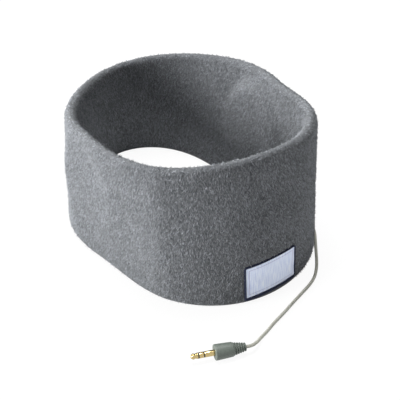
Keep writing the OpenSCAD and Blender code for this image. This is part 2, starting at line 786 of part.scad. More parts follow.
// Ribs and grooves of equal width share the relief, which widens towards the grip
rib_pitch = relief_l / (grooves + 0.5);
function relief_r(z) = mix(relief_end_d, relief_front_d, z / relief_l) / 2;
RELIEF_PROFILE = [
    for (i = [0 : grooves - 1])
        for (q = [[0, 0], [0.5, 0], [0.6, groove_depth], [0.9, groove_depth]])
            let (z = (i + q[0]) * rib_pitch)
            [relief_r(z) - q[1], z]
];

grip_back_edge = 0.3;
module plug_grip() {
    front = shoulder_z;
    color("slategray") laid_down() rotate_extrude() polygon(concat(
        [[0, 0]],
        RELIEF_PROFILE,
        [[relief_r(relief_l - rib_pitch / 2), relief_l - rib_pitch / 2], [relief_r(relief_l), relief_l]],
        [[grip_back_d / 2, relief_l + grip_back_edge]],
        [for (t = [0, 30, 60, 90])
            [grip_d / 2 - grip_edge_r * (1 - cos(t)), front - grip_edge_r * (1 - sin(t))]],
        [[0, front]]
    ));
}

module contact(z, length) {
    laid_down() translate([0, 0, z]) cylinder(r = plug_r, h = length);
}

module plug_sleeve() {
    color("gold") contact(shoulder_z, sleeve_l);
}

module plug_outer_insulator() {
    color("black") contact(outer_insulator_z, plug_insulator_l);
}

module plug_ring() {
    color("gold") contact(ring_z, plug_ring_l);
}

module plug_inner_insulator() {
    color("black") contact(inner_insulator_z, plug_insulator_l);
}

// The tip has a waist, where the socket's spring clicks in, and a blunt cone
module plug_tip() {
    waist_r = 0.74 * plug_r;
    nose_r = 0.3 * plug_r;
    color("gold") laid_down() translate([0, 0, tip_z]) rotate_extrude() polygon([
        [0, 0], [plug_r, 0], [plug_r, 0.12 * plug_tip_l], [waist_r, 0.3 * plug_tip_l],
        [waist_r, 0.38 * plug_tip_l], [plug_r, 0.6 * plug_tip_l], [plug_r, 0.68 * plug_tip_l],
        [nose_r, plug_tip_l], [0, plug_tip_l]
    ]);
}

fleece_band();
label();
label_edge();
hook_tape();
loop_tape();
for (side = SIDES) in_pocket(side) {
    foam_back();
    case_tray(back_way(side));
    terminal_board(back_way(side));
    driver_frame();
    steel_cup();
    magnet();
    pole_plate();
    voice_coil();
    diaphragm();
    felt_ring();
    grille();
    foam_front();
}
left_lead();
right_lead();
split_block();
cord_exit_run();
cord_floor_run();
cord_coil();
cord_outer_run();
plug_grip();
plug_sleeve();
plug_outer_insulator();
plug_ring();
plug_inner_insulator();
plug_tip();
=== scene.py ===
# %% [markdown]
# These are sleep headphones: a fleece headband with two flat speakers sewn inside, and a thin cord that
# ends in a 3.5 mm plug. The CAD frame has the right sizes and every hidden piece, but its cloth is a bare
# solid and its coil of cord a plain ring. This lesson dresses it. First the imported model is loaded.

# %% Load the imported model
import math

import bmesh
import bpy
import numpy as np
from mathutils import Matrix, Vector


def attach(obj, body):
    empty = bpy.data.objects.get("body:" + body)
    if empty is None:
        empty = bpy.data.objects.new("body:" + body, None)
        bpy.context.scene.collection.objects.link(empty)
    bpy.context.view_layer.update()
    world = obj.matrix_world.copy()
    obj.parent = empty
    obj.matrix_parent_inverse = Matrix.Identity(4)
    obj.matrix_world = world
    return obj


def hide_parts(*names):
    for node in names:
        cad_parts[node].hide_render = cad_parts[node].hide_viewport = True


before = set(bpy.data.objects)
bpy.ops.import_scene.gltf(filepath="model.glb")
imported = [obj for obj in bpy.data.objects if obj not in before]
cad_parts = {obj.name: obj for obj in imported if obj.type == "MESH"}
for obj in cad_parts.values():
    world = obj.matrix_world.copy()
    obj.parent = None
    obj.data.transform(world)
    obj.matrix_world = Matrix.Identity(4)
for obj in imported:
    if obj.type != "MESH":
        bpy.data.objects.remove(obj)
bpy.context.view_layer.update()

# %% [markdown]
# All sizes in the lesson are written in millimetres, as a maker thinks of them, and one function makes a
# piece out of them in metres. Its object stays at the origin, because the place is in the mesh, and a
# second function gives it its material and lets it ride on the CAD body.

# %% Helpers for pieces
MM = 0.001


def link(name, data):
    """A new object that holds the data and stands in the scene."""
    thing = bpy.data.objects.new(name, data)
    bpy.context.scene.collection.objects.link(thing)
    return thing


def mesh_piece(name, points, faces, closed=False):
    """A mesh object from points in millimetres and lists of corners. A closed one's faces are turned out."""
    mesh = bpy.data.meshes.new(name)
    mesh.from_pydata((np.asarray(points, float) * MM).tolist(), [], [list(map(int, f)) for f in faces])
    mesh.validate()
    if closed:
        work = bmesh.new()
        work.from_mesh(mesh)
        bmesh.ops.recalc_face_normals(work, faces=work.faces)
        work.to_mesh(mesh)
        work.free()
    return link(name, mesh)


def finish_piece(piece, material):
    """Gives a piece its material, shades a mesh smooth and lets it ride on the frame."""
    piece.data.materials.clear()
    piece.data.materials.append(material)
    if piece.type == "MESH":
        piece.data.shade_smooth()
    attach(piece, "root")
    return piece


print("a millimetre is", MM, "m")

# %% [markdown]
# A picture's colours are sRGB hex values, while Blender's shaders add up light and need linear numbers.
# One function turns the first into the second, and one small function adds a node with its settings and
# its links, so that each material below reads as a short list.

# %% Helpers for materials
def tint(code):
    """A linear colour with alpha from an sRGB hex value."""
    parts = [int(code[i:i + 2], 16) / 255 for i in (0, 2, 4)]
    return tuple(c / 12.92 if c <= 0.04045 else ((c + 0.055) / 1.055) ** 2.4 for c in parts) + (1.0,)


def put(tree, kind, inputs=None, **settings):
    """Adds a node. inputs holds values or sockets by name or number, and settings the node's own choices."""
    node = tree.nodes.new(kind)
    for key, value in settings.items():
        setattr(node, key, value)
    for key, value in (inputs or {}).items():
        if isinstance(value, bpy.types.NodeSocket):
            tree.links.new(value, node.inputs[key])
        else:
            node.inputs[key].default_value = value
    return node


def new_material(name):
    """A material and its empty tree."""
    material = bpy.data.materials.new(name)
    material.use_nodes = True
    material.node_tree.nodes.clear()
    return material, material.node_tree


def close_material(tree, inputs):
    """Ends a material with its shader: inputs holds plain values, and sockets where a pattern comes in."""
    shader = put(tree, "ShaderNodeBsdfPrincipled", inputs)
    put(tree, "ShaderNodeOutputMaterial", {"Surface": shader.outputs["BSDF"]})


def ramp(tree, factor, stops):
    """A colour ramp with (place, hex) stops, read at factor."""
    node = put(tree, "ShaderNodeValToRGB", {"Fac": factor})
    while len(node.color_ramp.elements) < len(stops):
        node.color_ramp.elements.new(0.5)
    for element, (place, code) in zip(node.color_ramp.elements, stops):
        element.position, element.color = place, tint(code)
    return node.outputs["Color"]


print("808080 is", round(tint("808080")[0], 3), "in linear light")

# %% [markdown]
# The camera comes first, because the cord's lie is judged from it. The photograph shows the back of the
# band, from its left and from above: the camera stands 650 mm from the band's middle, 35 degrees round to
# the left and 33 degrees up. A camera could be placed by eye, but this one was fitted, so that the band's
# two edges and the plug fall where the picture has them. The shift only centres the square picture.

# %% Camera
SENSOR = 36


def aim(thing, place, target):
    """Stands a camera or a lamp at place and turns it to target, both in metres."""
    thing.location = place
    thing.rotation_mode = "QUATERNION"
    thing.rotation_quaternion = (Vector(place) - Vector(target)).to_track_quat("Z", "Y")
    return thing


def place_camera(target, turn, rise, distance, lens, shift):
    """A camera that looks at target, in millimetres, from an azimuth and an elevation in degrees."""
    turn, rise = math.radians(turn), math.radians(rise)
    back = np.array([math.sin(turn) * math.cos(rise), -math.cos(turn) * math.cos(rise), math.sin(rise)])
    data = bpy.data.cameras.new("photo_camera")
    data.lens, data.sensor_width = lens, SENSOR
    data.shift_x, data.shift_y = shift
    camera = link("photo_camera", data)
    bpy.context.scene.camera = camera
    return aim(camera, (np.array(target) + distance * back) * MM, np.array(target) * MM)


camera = place_camera(target=(-3.77, -3.54, 40), turn=-35, rise=32.72, distance=650, lens=89.57,
                      shift=(0.03875, -0.077))
print("camera at", [round(1000 * x, 1) for x in camera.location])

# %% [markdown]
# The band is a loop whose lower and upper edges are two slightly different ovals, 520 mm round. Each is
# a circle with a few waves added. Such a loop could also be drawn by hand as a curve, but the CAD source
# states these same waves, so the cloth made here lies exactly over the CAD solid. A place on the band is
# named by its angle, its height and its distance out.

# %% The band's outline
GIRTH, BACK_HEIGHT, FRONT_HEIGHT = 520.0, 97.0, 74.0
# The angle of the back of the head, and the stations that the CAD source has round the band
BACK, CAD_STATIONS = -90, 64
STEP = 360 / CAD_STATIONS
# The thickness of one layer of cloth, and of the channel between the two layers
CLOTH, CHANNEL = 1.9, 2.6
FOLD_R = CLOTH + CHANNEL / 2
# A wave says how often it comes round, how deep it is and where it points, in degrees
LOWER_WAVES = [(2, 15.1, 90), (3, 3.2, 76), (4, 3.2, 69), (5, 1.0, 7)]
UPPER_WAVES = [(2, 11.9, 73), (3, 1.3, 51), (4, 1.3, 36), (5, 1.3, 9)]
# How far the upper edge leans over the lower one
LEAN = np.array([3.1, 4.3])


def mean_radius(waves):
    """The radius that keeps the outline's girth once its waves have used some of it."""
    round_r = GIRTH / (2 * math.pi)
    return round_r - sum((k * depth) ** 2 for k, depth, _ in waves) / (4 * round_r)


def loop(waves, a):
    """Points of an outline at angles a, in degrees."""
    a = np.asarray(a, float)
    r = mean_radius(waves) + sum(depth * np.cos(np.radians(k * (a - turn))) for k, depth, turn in waves)
    return np.stack([r * np.cos(np.radians(a)), r * np.sin(np.radians(a))], -1)


cad_angles = np.arange(CAD_STATIONS) * STEP
both_edges = np.concatenate([loop(LOWER_WAVES, cad_angles), loop(UPPER_WAVES, cad_angles) + LEAN])
MIDDLE = (both_edges.min(0) + both_edges.max(0)) / 2
print("middle", MIDDLE.round(3), "radii", [round(mean_radius(w), 3) for w in (LOWER_WAVES, UPPER_WAVES)])


# %% The bare wall
def height(a):
    """The band's height, which falls evenly from the back of the head to the forehead."""
    rise = (BACK_HEIGHT - FRONT_HEIGHT) * (1 + np.cos(np.radians(np.asarray(a, float) - BACK))) / 2
    return FRONT_HEIGHT + rise


def flat_wall(a, z):
    """The middle of the wall before folds and pockets."""
    a, z = np.broadcast_arrays(np.asarray(a, float), np.asarray(z, float))
    t = (z / height(a))[..., None]
    flat = (loop(LOWER_WAVES, a) - MIDDLE) * (1 - t) + (loop(UPPER_WAVES, a) + LEAN - MIDDLE) * t
    return np.concatenate([flat, z[..., None]], -1)


def unit(v):
    """The same way, with length 1."""
    return v / np.linalg.norm(v, axis=-1, keepdims=True)


def along(a, z):
    """The level way along the wall, anticlockwise."""
    step = flat_wall(np.asarray(a) + 0.5, z) - flat_wall(np.asarray(a) - 0.5, z)
    return unit(step * [1, 1, 0])


def level_out(a, z):
    """The level way straight out of the wall."""
    return np.cross(along(a, z), [0.0, 0.0, 1.0])


print("height at the back", float(height(BACK)), "and at the forehead", float(height(BACK + 180)))

# %% [markdown]
# A maker marks places on such a band with a tape measure, so distances along the lower edge, counted from
# the back of the head, say where the speakers, the cord and the opening are. A table of arc lengths turns
# such a distance into an angle.

# %% Places along the lower edge
HALF_ROUND = np.arange(CAD_STATIONS // 2 + 1)


def arc_table(way):
    """Distances from the back of the head to each CAD station on one side."""
    steps = flat_wall(BACK + way * STEP * HALF_ROUND, 0)
    return np.concatenate([[0], np.cumsum(np.linalg.norm(np.diff(steps, axis=0), axis=1))])


RIGHT_ARC, LEFT_ARC = arc_table(1), arc_table(-1)


def angle_at(s):
    """The angle at a distance along the lower edge from the back of the head, positive to the right."""
    s, turns = np.asarray(s, float), STEP * HALF_ROUND
    return BACK + np.where(s < 0, -np.interp(-s, LEFT_ARC, turns), np.interp(s, RIGHT_ARC, turns))


# The cord leaves 97 mm to the right, and a taped opening, 48 mm long, ends 8 mm before it
EXIT_S, TAPE_L, TAPE_TO_EXIT = 97, 48, 8
# The speakers sit 136 mm to either side, 45 mm up
EAR_S, EAR_HEIGHT = 136, 45.0
EXIT_ANGLE = float(angle_at(EXIT_S))
TAPE_FROM, TAPE_TO = float(angle_at(EXIT_S - TAPE_TO_EXIT - TAPE_L)), float(angle_at(EXIT_S - TAPE_TO_EXIT))
EAR_ANGLES = {"left": float(angle_at(-EAR_S)), "right": float(angle_at(EAR_S))}
print("cord leaves at angle", round(EXIT_ANGLE, 2), "speakers at", [round(v, 1) for v in EAR_ANGLES.values()])

# %% [markdown]
# Over each speaker the inner layer of cloth bulges a few millimetres towards the head, and soft folds show
# where the band was bent. A cloth simulation could find both, but would move them a little each time it
# was changed. Here they are formulas with the CAD source's own values. Only the ridge at the back left is
# a little sharper, with a flatter stretch on each side of it, because in the photograph it parts the lit
# side from the shade.

# %% What the pockets hold
# The speaker's case, a disc of foam on each side of it, the room around them, and how far in they sit
CASE_T, FOAM_T, ROOM, EAR_SINK = 4.2, 0.8, 0.3, 1.6
EAR_HALF = (CASE_T + 2 * FOAM_T) / 2 + ROOM
# The height of the hem, and the block where the cord splits, 4 mm above it
HEM_H, SPLIT_T, SPLIT_HALF_H = 12.0, 2.3, 7.5
SPLIT_Z = HEM_H + 4 + SPLIT_HALF_H
SPLIT_MIDDLE = flat_wall(EXIT_ANGLE, SPLIT_Z)


def ear_out(side):
    """The way straight out of the leaning wall at a speaker."""
    a = EAR_ANGLES[side]
    lean = flat_wall(a, height(a)) - flat_wall(a, 0)
    return unit(np.cross(along(a, EAR_HEIGHT), lean))


def ear_middle(side):
    """The middle of a speaker's case."""
    return flat_wall(EAR_ANGLES[side], EAR_HEIGHT) - (EAR_HALF - CHANNEL / 2 + EAR_SINK) * ear_out(side)


print("speakers' middles", [ear_middle(side).round(1).tolist() for side in EAR_ANGLES])

# %% Folds and pockets
# A pocket says its middle, its way out, the radius inside which it is flat, the radius where it ends, and
# half its thickness
EAR_FLAT_R = 24.0
POCKETS = [(ear_middle(side), ear_out(side), EAR_FLAT_R, 38.0, EAR_HALF) for side in ("left", "right")]
POCKETS.append((SPLIT_MIDDLE, level_out(EXIT_ANGLE, SPLIT_Z), 9.0, 16.0, SPLIT_T / 2 + ROOM))
# A fold says its angles at the lower and the upper edge, how far it stands out and its width in degrees
FOLDS = [
    (-132, -136, 1.8, 6.0), (-151, -153, -1.5, 11.0), (-115, -117, -1.1, 10.0),
    (15, 42, -1.4, 6.0), (-8, 16, -1.4, 6.0),
]


def smooth(x):
    """Rises from 0 to 1 with soft ends while x does."""
    t = np.clip(x, 0, 1)
    return t * t * (3 - 2 * t)


def pull(p, pocket):
    """How much of a pocket a point of the bare wall takes part in, from 0 to 1."""
    middle, _, flat_r, end_r, _ = pocket
    return smooth((end_r - np.linalg.norm(p - middle, axis=-1)) / (end_r - flat_r))


def fold_shift(a, z):
    """How far the folds move the wall outwards. They fade out at both edges."""
    fade = np.sqrt(np.clip(np.sin(np.radians(180 * z / height(a))), 0, None))
    total = 0
    for low, high, size, width in FOLDS:
        away = (a - (low + (high - low) * z / height(a)) + 180) % 360 - 180
        total = total + size * np.exp(-((away / width) ** 2))
    return fade * total


def in_wall(a, z, n):
    """A place in the wall: angle, height and distance out from the middle of the channel."""
    a, z, n = np.broadcast_arrays(*[np.asarray(x, float) for x in (a, z, n)])
    bare, level = flat_wall(a, z), level_out(a, z)
    folded = bare + fold_shift(a, z)[..., None] * level
    place, way = folded, level
    for pocket in POCKETS:
        middle, out = pocket[:2]
        share = pull(bare, pocket)[..., None]
        place = place + share * ((middle - folded) @ out)[..., None] * out
        way = way + share * (out - level)
    return place + n[..., None] * unit(way)


def channel_half(a, z):
    """Half of the channel's thickness, more in the pockets."""
    bare = flat_wall(a, z)
    return CHANNEL / 2 + sum(pull(bare, pocket) * (pocket[-1] - CHANNEL / 2) for pocket in POCKETS)


print("pockets", len(POCKETS), "folds", len(FOLDS))

# %% [markdown]
# The band is two layers of fleece, folded at the top and turned up inside along the lower edge. It is one
# closed skin round a section, as in the CAD source, but with rounder edges and many more stations, so
# that its folds are soft. The section's rows are the same at every station, which keeps the mesh a
# clean grid of four-sided faces.

# %% The hem
FIRST_ROW = HEM_H + 2
# Half of the gap in the hem: plain, what the tapes add to it, and round the cord
HEM_GAP, TAPES_GAP, CORD_GAP = 0.15, 1.1, 1.6
# Over how many degrees it widens before the tapes, and to either side of the cord
TAPES_FADE, CORD_WIDTH = 4, 6
# The hem's outer and inner corner, as shares of its thickness
OUTER_CORNER, INNER_CORNER = 0.72, 0.28


def near_exit(a, half_width):
    """1 where the cord leaves and 0 further than half_width degrees from there."""
    return smooth(1 - np.abs((a - EXIT_ANGLE + 180) % 360 - 180) / half_width)


def hem_half(a):
    """Half of the gap between the two sides of the hem, wider at the tapes and round the cord."""
    turn = (a - BACK) % 360 + BACK
    taped = smooth((turn - TAPE_FROM + TAPES_FADE) / TAPES_FADE)
    taped = taped * smooth((TAPE_TO + TAPES_FADE - turn) / TAPES_FADE)
    return HEM_GAP + TAPES_GAP * taped + (CORD_GAP - HEM_GAP) * near_exit(a, CORD_WIDTH) * (1 - taped)


def hem_r(a):
    """Radius of the hem's outer corner."""
    return OUTER_CORNER * (FOLD_R - hem_half(a))


print("gap in the hem in mm: at the back", round(2 * float(hem_half(BACK)), 1),
      "between the tapes", round(2 * float(hem_half((TAPE_FROM + TAPE_TO) / 2)), 1))

# %% The cloth's surface
# Very shallow waves keep the band from looking machined: depth, how many round, slant and start
SOFT_WAVES = [(0.16, 5, 0.04, 0.6), (0.12, 11, -0.05, 2.1), (0.08, 19, 0.11, 0)]


def soft_waves(a, z):
    """How far the shallow waves move the cloth outwards. They fade out at both edges."""
    r = np.radians(a)
    total = sum(depth * np.sin(k * r + slant * z + start) for depth, k, slant, start in SOFT_WAVES)
    return total * np.sin(np.radians(180 * np.clip(z / height(a), 0, 1)))


def outer_n(a, z):
    """Distance from the wall's middle to the cloth's outer surface, down to where the cord lifts the hem."""
    a, z = np.broadcast_arrays(np.asarray(a, float), np.asarray(z, float))
    upper = channel_half(a, np.maximum(z, FIRST_ROW)) + CLOTH
    blend = np.clip((FIRST_ROW - z) / (FIRST_ROW - hem_r(a)), 0, 1)
    turn = np.arcsin(np.clip(1 - z / hem_r(a), 0, 1))
    return upper * (1 - blend) + FOLD_R * blend - hem_r(a) * (1 - np.cos(turn)) + soft_waves(a, z)


print("half of the band's thickness, half way up the back:", round(float(outer_n(BACK, BACK_HEIGHT / 2)), 2))

# %% The section
# How many steps the wall, the stretch beside the hem and the channel have from top to bottom
WALL_ROWS, HEM_ROWS, CHANNEL_ROWS = 44, 8, 8
# How far the cord lifts the hem, and over how many degrees to either side
LIFT, LIFT_WIDTH = 4.8, 7


def section(a):
    """Rows of (distance out, height) from the top down outside, up inside the channel and back the same way.

    It also says how many rows each outside face has."""
    top, corner, inner_corner = height(a) - FOLD_R, hem_r(a), INNER_CORNER * (FOLD_R - hem_half(a))
    lift = LIFT * near_exit(a, LIFT_WIDTH)

    def face(way):
        """The outside of one layer, out for way 1 and in for -1, down to the turned-up edge of its hem."""
        low = lift if way > 0 else 0 * lift
        rows = [(way * FOLD_R * np.cos(t), top + FOLD_R * np.sin(t))
                for t in np.radians([78, 65, 52, 39, 26, 13])]
        levels = [FIRST_ROW + (top - FIRST_ROW) * k / WALL_ROWS for k in range(WALL_ROWS, -1, -1)]
        levels += [FIRST_ROW + (low + corner - FIRST_ROW) * k / HEM_ROWS for k in range(1, HEM_ROWS)]
        rows += [(way * outer_n(a, z), z) for z in levels]
        rows += [(way * (FOLD_R - corner * (1 - np.cos(t))), low + corner * (1 - np.sin(t)))
                 for t in np.radians([0, 22, 45, 67, 90])]
        rows += [(way * (hem_half(a) + inner_corner * (1 - np.sin(t))), low + inner_corner * (1 - np.cos(t)))
                 for t in np.radians([30, 60, 90])]
        return rows

    def channel(way):
        """The same layer's side of the channel, from the hem up."""
        levels = [FIRST_ROW + (top - FIRST_ROW) * k / CHANNEL_ROWS for k in range(CHANNEL_ROWS + 1)]
        rows = [(way * hem_half(a), 0 * a + HEM_H)] + [(way * channel_half(a, z), z) for z in levels]
        return rows + [(way * CHANNEL / 2 * np.cos(t), top + CHANNEL / 2 * np.sin(t))
                       for t in np.radians([30, 60])]

    rows = [(0 * a, height(a))] + face(1) + channel(1)
    rows += [(0 * a, top + CHANNEL / 2)] + (face(-1) + channel(-1))[::-1]
    return rows, len(face(1))


print("points round the section", len(section(float(BACK))[0]))

# %% Cloth mesh
STATIONS = 480


def grid_faces(rows, columns, close_rows, close_columns):
    """Four-sided faces over a grid of points that are numbered row by row."""
    faces = []
    for i in range(rows if close_rows else rows - 1):
        for j in range(columns if close_columns else columns - 1):
            i2, j2 = (i + 1) % rows, (j + 1) % columns
            faces.append((i * columns + j, i2 * columns + j, i2 * columns + j2, i * columns + j2))
    return faces


station_angles = BACK + 360 * np.arange(STATIONS) / STATIONS
section_rows, SHOWN_ROWS = section(station_angles)
GRID = np.array([in_wall(station_angles, z, n) for n, z in section_rows])
cloth_faces = grid_faces(len(GRID), STATIONS, True, True)
cloth = mesh_piece("fleece_cloth", GRID.reshape(-1, 3), cloth_faces, closed=True)
print("cloth rows", len(GRID), "faces", len(cloth.data.polygons))

# %% [markdown]
# Fleece is a knitted polyester cloth whose loops are brushed up and sheared to a short, matt pile. It could
# be a flat cloth with a pattern of flecks, but its edge would then be bare. So the knitted ground, which
# hardly shows, only gets a dull dark grey, darker than its fibres: painted shade for the gaps between the
# tufts. The pile is made of real tufts below. What the eye sees is their light and shade side by side: fine
# streaks, one to two millimetres long.

# %% Fleece finish
# What the cloth's shade is mixed from: a slow drift, 22 mm wide, fine flecks, and each tuft's own shade
DRIFT_SHARE, FLECK_SHARE, TUFT_SHARE = 0.12, 0.64, 0.24
DRIFTS_PER_METRE = 45.0


def fleece_material(name, stops, fleck, depth):
    """Brushed polyester fleece: flecks, each tuft's own tone and a slow drift, spread over the greys in
    stops. The ground's stops are darker than the pile's, painted shade between the tufts.
    """
    material, tree = new_material(name)
    place = put(tree, "ShaderNodeTexCoord").outputs["Object"]
    brushed = put(tree, "ShaderNodeMapping", {"Vector": place, "Scale": (1.0, 1.0, 0.45)}).outputs["Vector"]
    flecks = put(tree, "ShaderNodeTexNoise", {
        "Vector": brushed, "Scale": 1 / (fleck * MM), "Detail": 2.0, "Roughness": 0.6}).outputs["Fac"]
    drift = put(tree, "ShaderNodeTexNoise", {
        "Vector": place, "Scale": DRIFTS_PER_METRE, "Detail": 2.0}).outputs["Fac"]
    tuft = put(tree, "ShaderNodeAttribute", attribute_name="tuft_shade").outputs["Fac"]
    mixed = put(tree, "ShaderNodeMath", {0: drift, 1: DRIFT_SHARE}, operation="MULTIPLY").outputs[0]
    for part, share in ((flecks, FLECK_SHARE), (tuft, TUFT_SHARE)):
        mixed = put(tree, "ShaderNodeMath", {0: part, 1: share, 2: mixed},
                    operation="MULTIPLY_ADD").outputs[0]
    relief = put(tree, "ShaderNodeBump", {"Strength": 0.5, "Distance": depth * MM, "Height": flecks})
    close_material(tree, {
        "Base Color": ramp(tree, mixed, stops), "Normal": relief.outputs["Normal"],
        "Roughness": 1.0, "Specular IOR Level": 0.1,
        "Sheen Weight": 0.25, "Sheen Roughness": 0.6, "Sheen Tint": tint("d8dbda")})
    return material


# Knitted polyester ground: dull, and darker than its fibres, painted shade for where light hardly gets down
# between the tufts
knit_painted_shade = fleece_material("knitted_ground_painted_shade", [(0.25, "47494c"), (0.4, "595b5e"), (0.55, "67696c")],
                       fleck=1.2, depth=0.5)
# Brushed polyester pile: quite matt, with a faint pale sheen where fibres stand against the light
pile = fleece_material("brushed_polyester_pile", [(0.35, "505357"), (0.5, "6e7175"), (0.65, "8a8d93")],
                       fleck=1.3, depth=0.2)
finish_piece(cloth, knit_painted_shade)
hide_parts("fleece_band")
print("materials", knit_painted_shade.name, pile.name)

# %% [markdown]
# The pile repeats one small shape many thousand times, which is what Geometry Nodes are for. The tree
# below scatters points on a patch of cloth, turns a three-sided tuft at each of them half out of the cloth
# and half downwards, as brushed fleece lies, and gives each its own size and shade. A noise texture makes
# neighbours lean the same way, in small clumps, as fleece mats. A patch carries a vertex attribute that
# says where nothing grows, such as under the label.

# %% Geometry Nodes helpers
def node_tree(name, sockets):
    """A Geometry Nodes tree with named inputs, [(name, kind), ...], and the sockets that give them."""
    tree = bpy.data.node_groups.new(name, "GeometryNodeTree")
    tree.interface.new_socket("Geometry", in_out="INPUT", socket_type="NodeSocketGeometry")
    for label, kind in sockets:
        tree.interface.new_socket(label, in_out="INPUT", socket_type="NodeSocket" + kind)
    tree.interface.new_socket("Geometry", in_out="OUTPUT", socket_type="NodeSocketGeometry")
    return tree, put(tree, "NodeGroupInput").outputs


def close_tree(tree, instances, material):
    """Ends a tree: the instances become real faces, smooth, with their material."""
    real = put(tree, "GeometryNodeRealizeInstances", {"Geometry": instances})
    soft = put(tree, "GeometryNodeSetShadeSmooth", {"Geometry": real.outputs[0]})
    dressed = put(tree, "GeometryNodeSetMaterial", {"Geometry": soft.outputs[0], "Material": material})
    put(tree, "NodeGroupOutput", {0: dressed.outputs[0]})


def grow(name, carrier, tree, values):
    """Runs a tree on a carrier and keeps the result as one plain mesh that rides on the frame."""
    modifier = carrier.modifiers.new("tree", "NODES")
    modifier.node_group = tree
    for item in tree.interface.items_tree:
        if item.in_out == "INPUT" and item.name in values:
            modifier[item.identifier] = values[item.name]
    shapes = bpy.context.evaluated_depsgraph_get()
    mesh = bpy.data.meshes.new_from_object(carrier.evaluated_get(shapes), depsgraph=shapes)
    bpy.data.objects.remove(carrier)
    mesh.name = name
    piece = link(name, mesh)
    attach(piece, "root")
    print(name, len(mesh.polygons), "faces")
    return piece


# %% Tree of the pile
def pile_tree():
    """Tufts that stand out of the cloth, brushed down, a little astray and matted with their neighbours."""
    tree, given = node_tree("fleece_pile", [
        ("Tufts per square metre", "Float"), ("Tuft length", "Float"), ("Tuft width", "Float"),
        ("Brushed down", "Float"), ("Scatter", "Float"), ("Clumps per metre", "Float"),
        ("Clump lean", "Float"), ("Seed", "Int"), ("Material", "Material"),
    ])
    seed = given["Seed"]
    bare = put(tree, "GeometryNodeInputNamedAttribute", {"Name": "bare"}, data_type="FLOAT")
    covered = put(tree, "ShaderNodeMath", {0: 1.0, 1: bare.outputs["Attribute"]}, operation="SUBTRACT",
                  use_clamp=True)
    density = put(tree, "ShaderNodeMath", {0: covered.outputs[0], 1: given["Tufts per square metre"]},
                  operation="MULTIPLY")
    points = put(tree, "GeometryNodeDistributePointsOnFaces", {
        "Mesh": given["Geometry"], "Density": density.outputs[0], "Seed": seed})
    chance = put(tree, "FunctionNodeRandomValue", {0: (-1.0, -1.0, -1.0), 1: (1.0, 1.0, 1.0), "Seed": seed},
                 data_type="FLOAT_VECTOR")
    stray = put(tree, "ShaderNodeVectorMath", {0: chance.outputs[0], "Scale": given["Scatter"]},
                operation="SCALE")
    clump = put(tree, "ShaderNodeTexNoise", {"Scale": given["Clumps per metre"], "Detail": 0.0})
    clump = put(tree, "ShaderNodeVectorMath", {0: clump.outputs["Color"], 1: (0.5, 0.5, 0.5)},
                operation="SUBTRACT")
    clump = put(tree, "ShaderNodeVectorMath", {0: clump.outputs[0], "Scale": given["Clump lean"]},
                operation="SCALE")
    astray = put(tree, "ShaderNodeVectorMath", {0: stray.outputs[0], 1: clump.outputs[0]}, operation="ADD")
    fall = put(tree, "ShaderNodeMath", {0: 0.0, 1: given["Brushed down"]}, operation="SUBTRACT")
    down = put(tree, "ShaderNodeCombineXYZ", {"Z": fall.outputs[0]})
    way = points.outputs["Normal"]
    for part in (down, astray):
        way = put(tree, "ShaderNodeVectorMath", {0: way, 1: part.outputs[0]}, operation="ADD").outputs[0]
    turned = put(tree, "FunctionNodeAlignRotationToVector", {"Vector": way}, axis="Z")
    wide = put(tree, "ShaderNodeMath", {0: given["Tuft width"], 1: 0.5}, operation="MULTIPLY")
    tuft = put(tree, "GeometryNodeMeshCone", {
        "Vertices": 3, "Radius Bottom": wide.outputs[0], "Radius Top": 0.0, "Depth": given["Tuft length"]},
        fill_type="NONE")
    size, shade = [put(tree, "FunctionNodeRandomValue", {2: low, 3: high, "Seed": seed}, data_type="FLOAT")
                   for low, high in ((0.6, 1.3), (0.0, 1.0))]
    tufts = put(tree, "GeometryNodeInstanceOnPoints", {
        "Points": points.outputs["Points"], "Instance": tuft.outputs["Mesh"], "Rotation": turned.outputs[0],
        "Scale": size.outputs[1]})
    shaded = put(tree, "GeometryNodeStoreNamedAttribute", {
        "Geometry": tufts.outputs[0], "Name": "tuft_shade", "Value": shade.outputs[1]},
        data_type="FLOAT", domain="INSTANCE")
    close_tree(tree, shaded.outputs[0], given["Material"])
    return tree


PILE_TREE = pile_tree()
print("tree of the pile", len(PILE_TREE.nodes), "nodes")

# %% [markdown]
# The label is a rectangle of ribbon at the back of the head, near the hem, and no pile may grow through it,
# so its place is settled first. It sits turned by 2.5 degrees and a little to the left, and its middle is
# sewn on bowed up, as ribbon often is. One function tells where any place on the band lies on the label.

# %% Place of the label
LABEL_W, LABEL_H = 35.5, 20.7
# Its lower edge's height, its turn in degrees, its shift to the right and the height of its bow
LABEL_Z, LABEL_TURN, LABEL_SHIFT, LABEL_BOW = 4.8, 2.5, -1.6, 0.9
LABEL_MIDDLE = LABEL_Z + LABEL_H / 2


def reach_at(a):
    """The distance along the lower edge from the back of the head, for an angle: the reverse of angle_at."""
    turn, turns = (np.asarray(a, float) - BACK + 180) % 360 - 180, STEP * HALF_ROUND
    return np.where(turn < 0, -np.interp(-turn, turns, LEFT_ARC), np.interp(turn, turns, RIGHT_ARC))


def label_bow(right):
    """How far the label is bowed up at a distance to the right of its middle."""
    return LABEL_BOW * np.clip(1 - (right / (LABEL_W / 2)) ** 2, -0.2, 1)


def on_label(a, z):
    """Where a place lies on the turned label, in millimetres right of and above its middle."""
    s, rise, t = reach_at(a) - LABEL_SHIFT, z - LABEL_MIDDLE, math.radians(LABEL_TURN)
    right = s * math.cos(t) + rise * math.sin(t)
    return right, rise * math.cos(t) - s * math.sin(t) - label_bow(right)


print("label's middle at angle", round(float(angle_at(LABEL_SHIFT)), 2), "and height", round(LABEL_MIDDLE, 2))

# %% [markdown]
# The band is covered in four patches, the outer and the inner face of its left and its right half, so that
# no piece gets too heavy. Each patch is cut out of the cloth's own grid. Every tuft also gets its own small
# square of a texture map, since the export paints patterns into such maps.

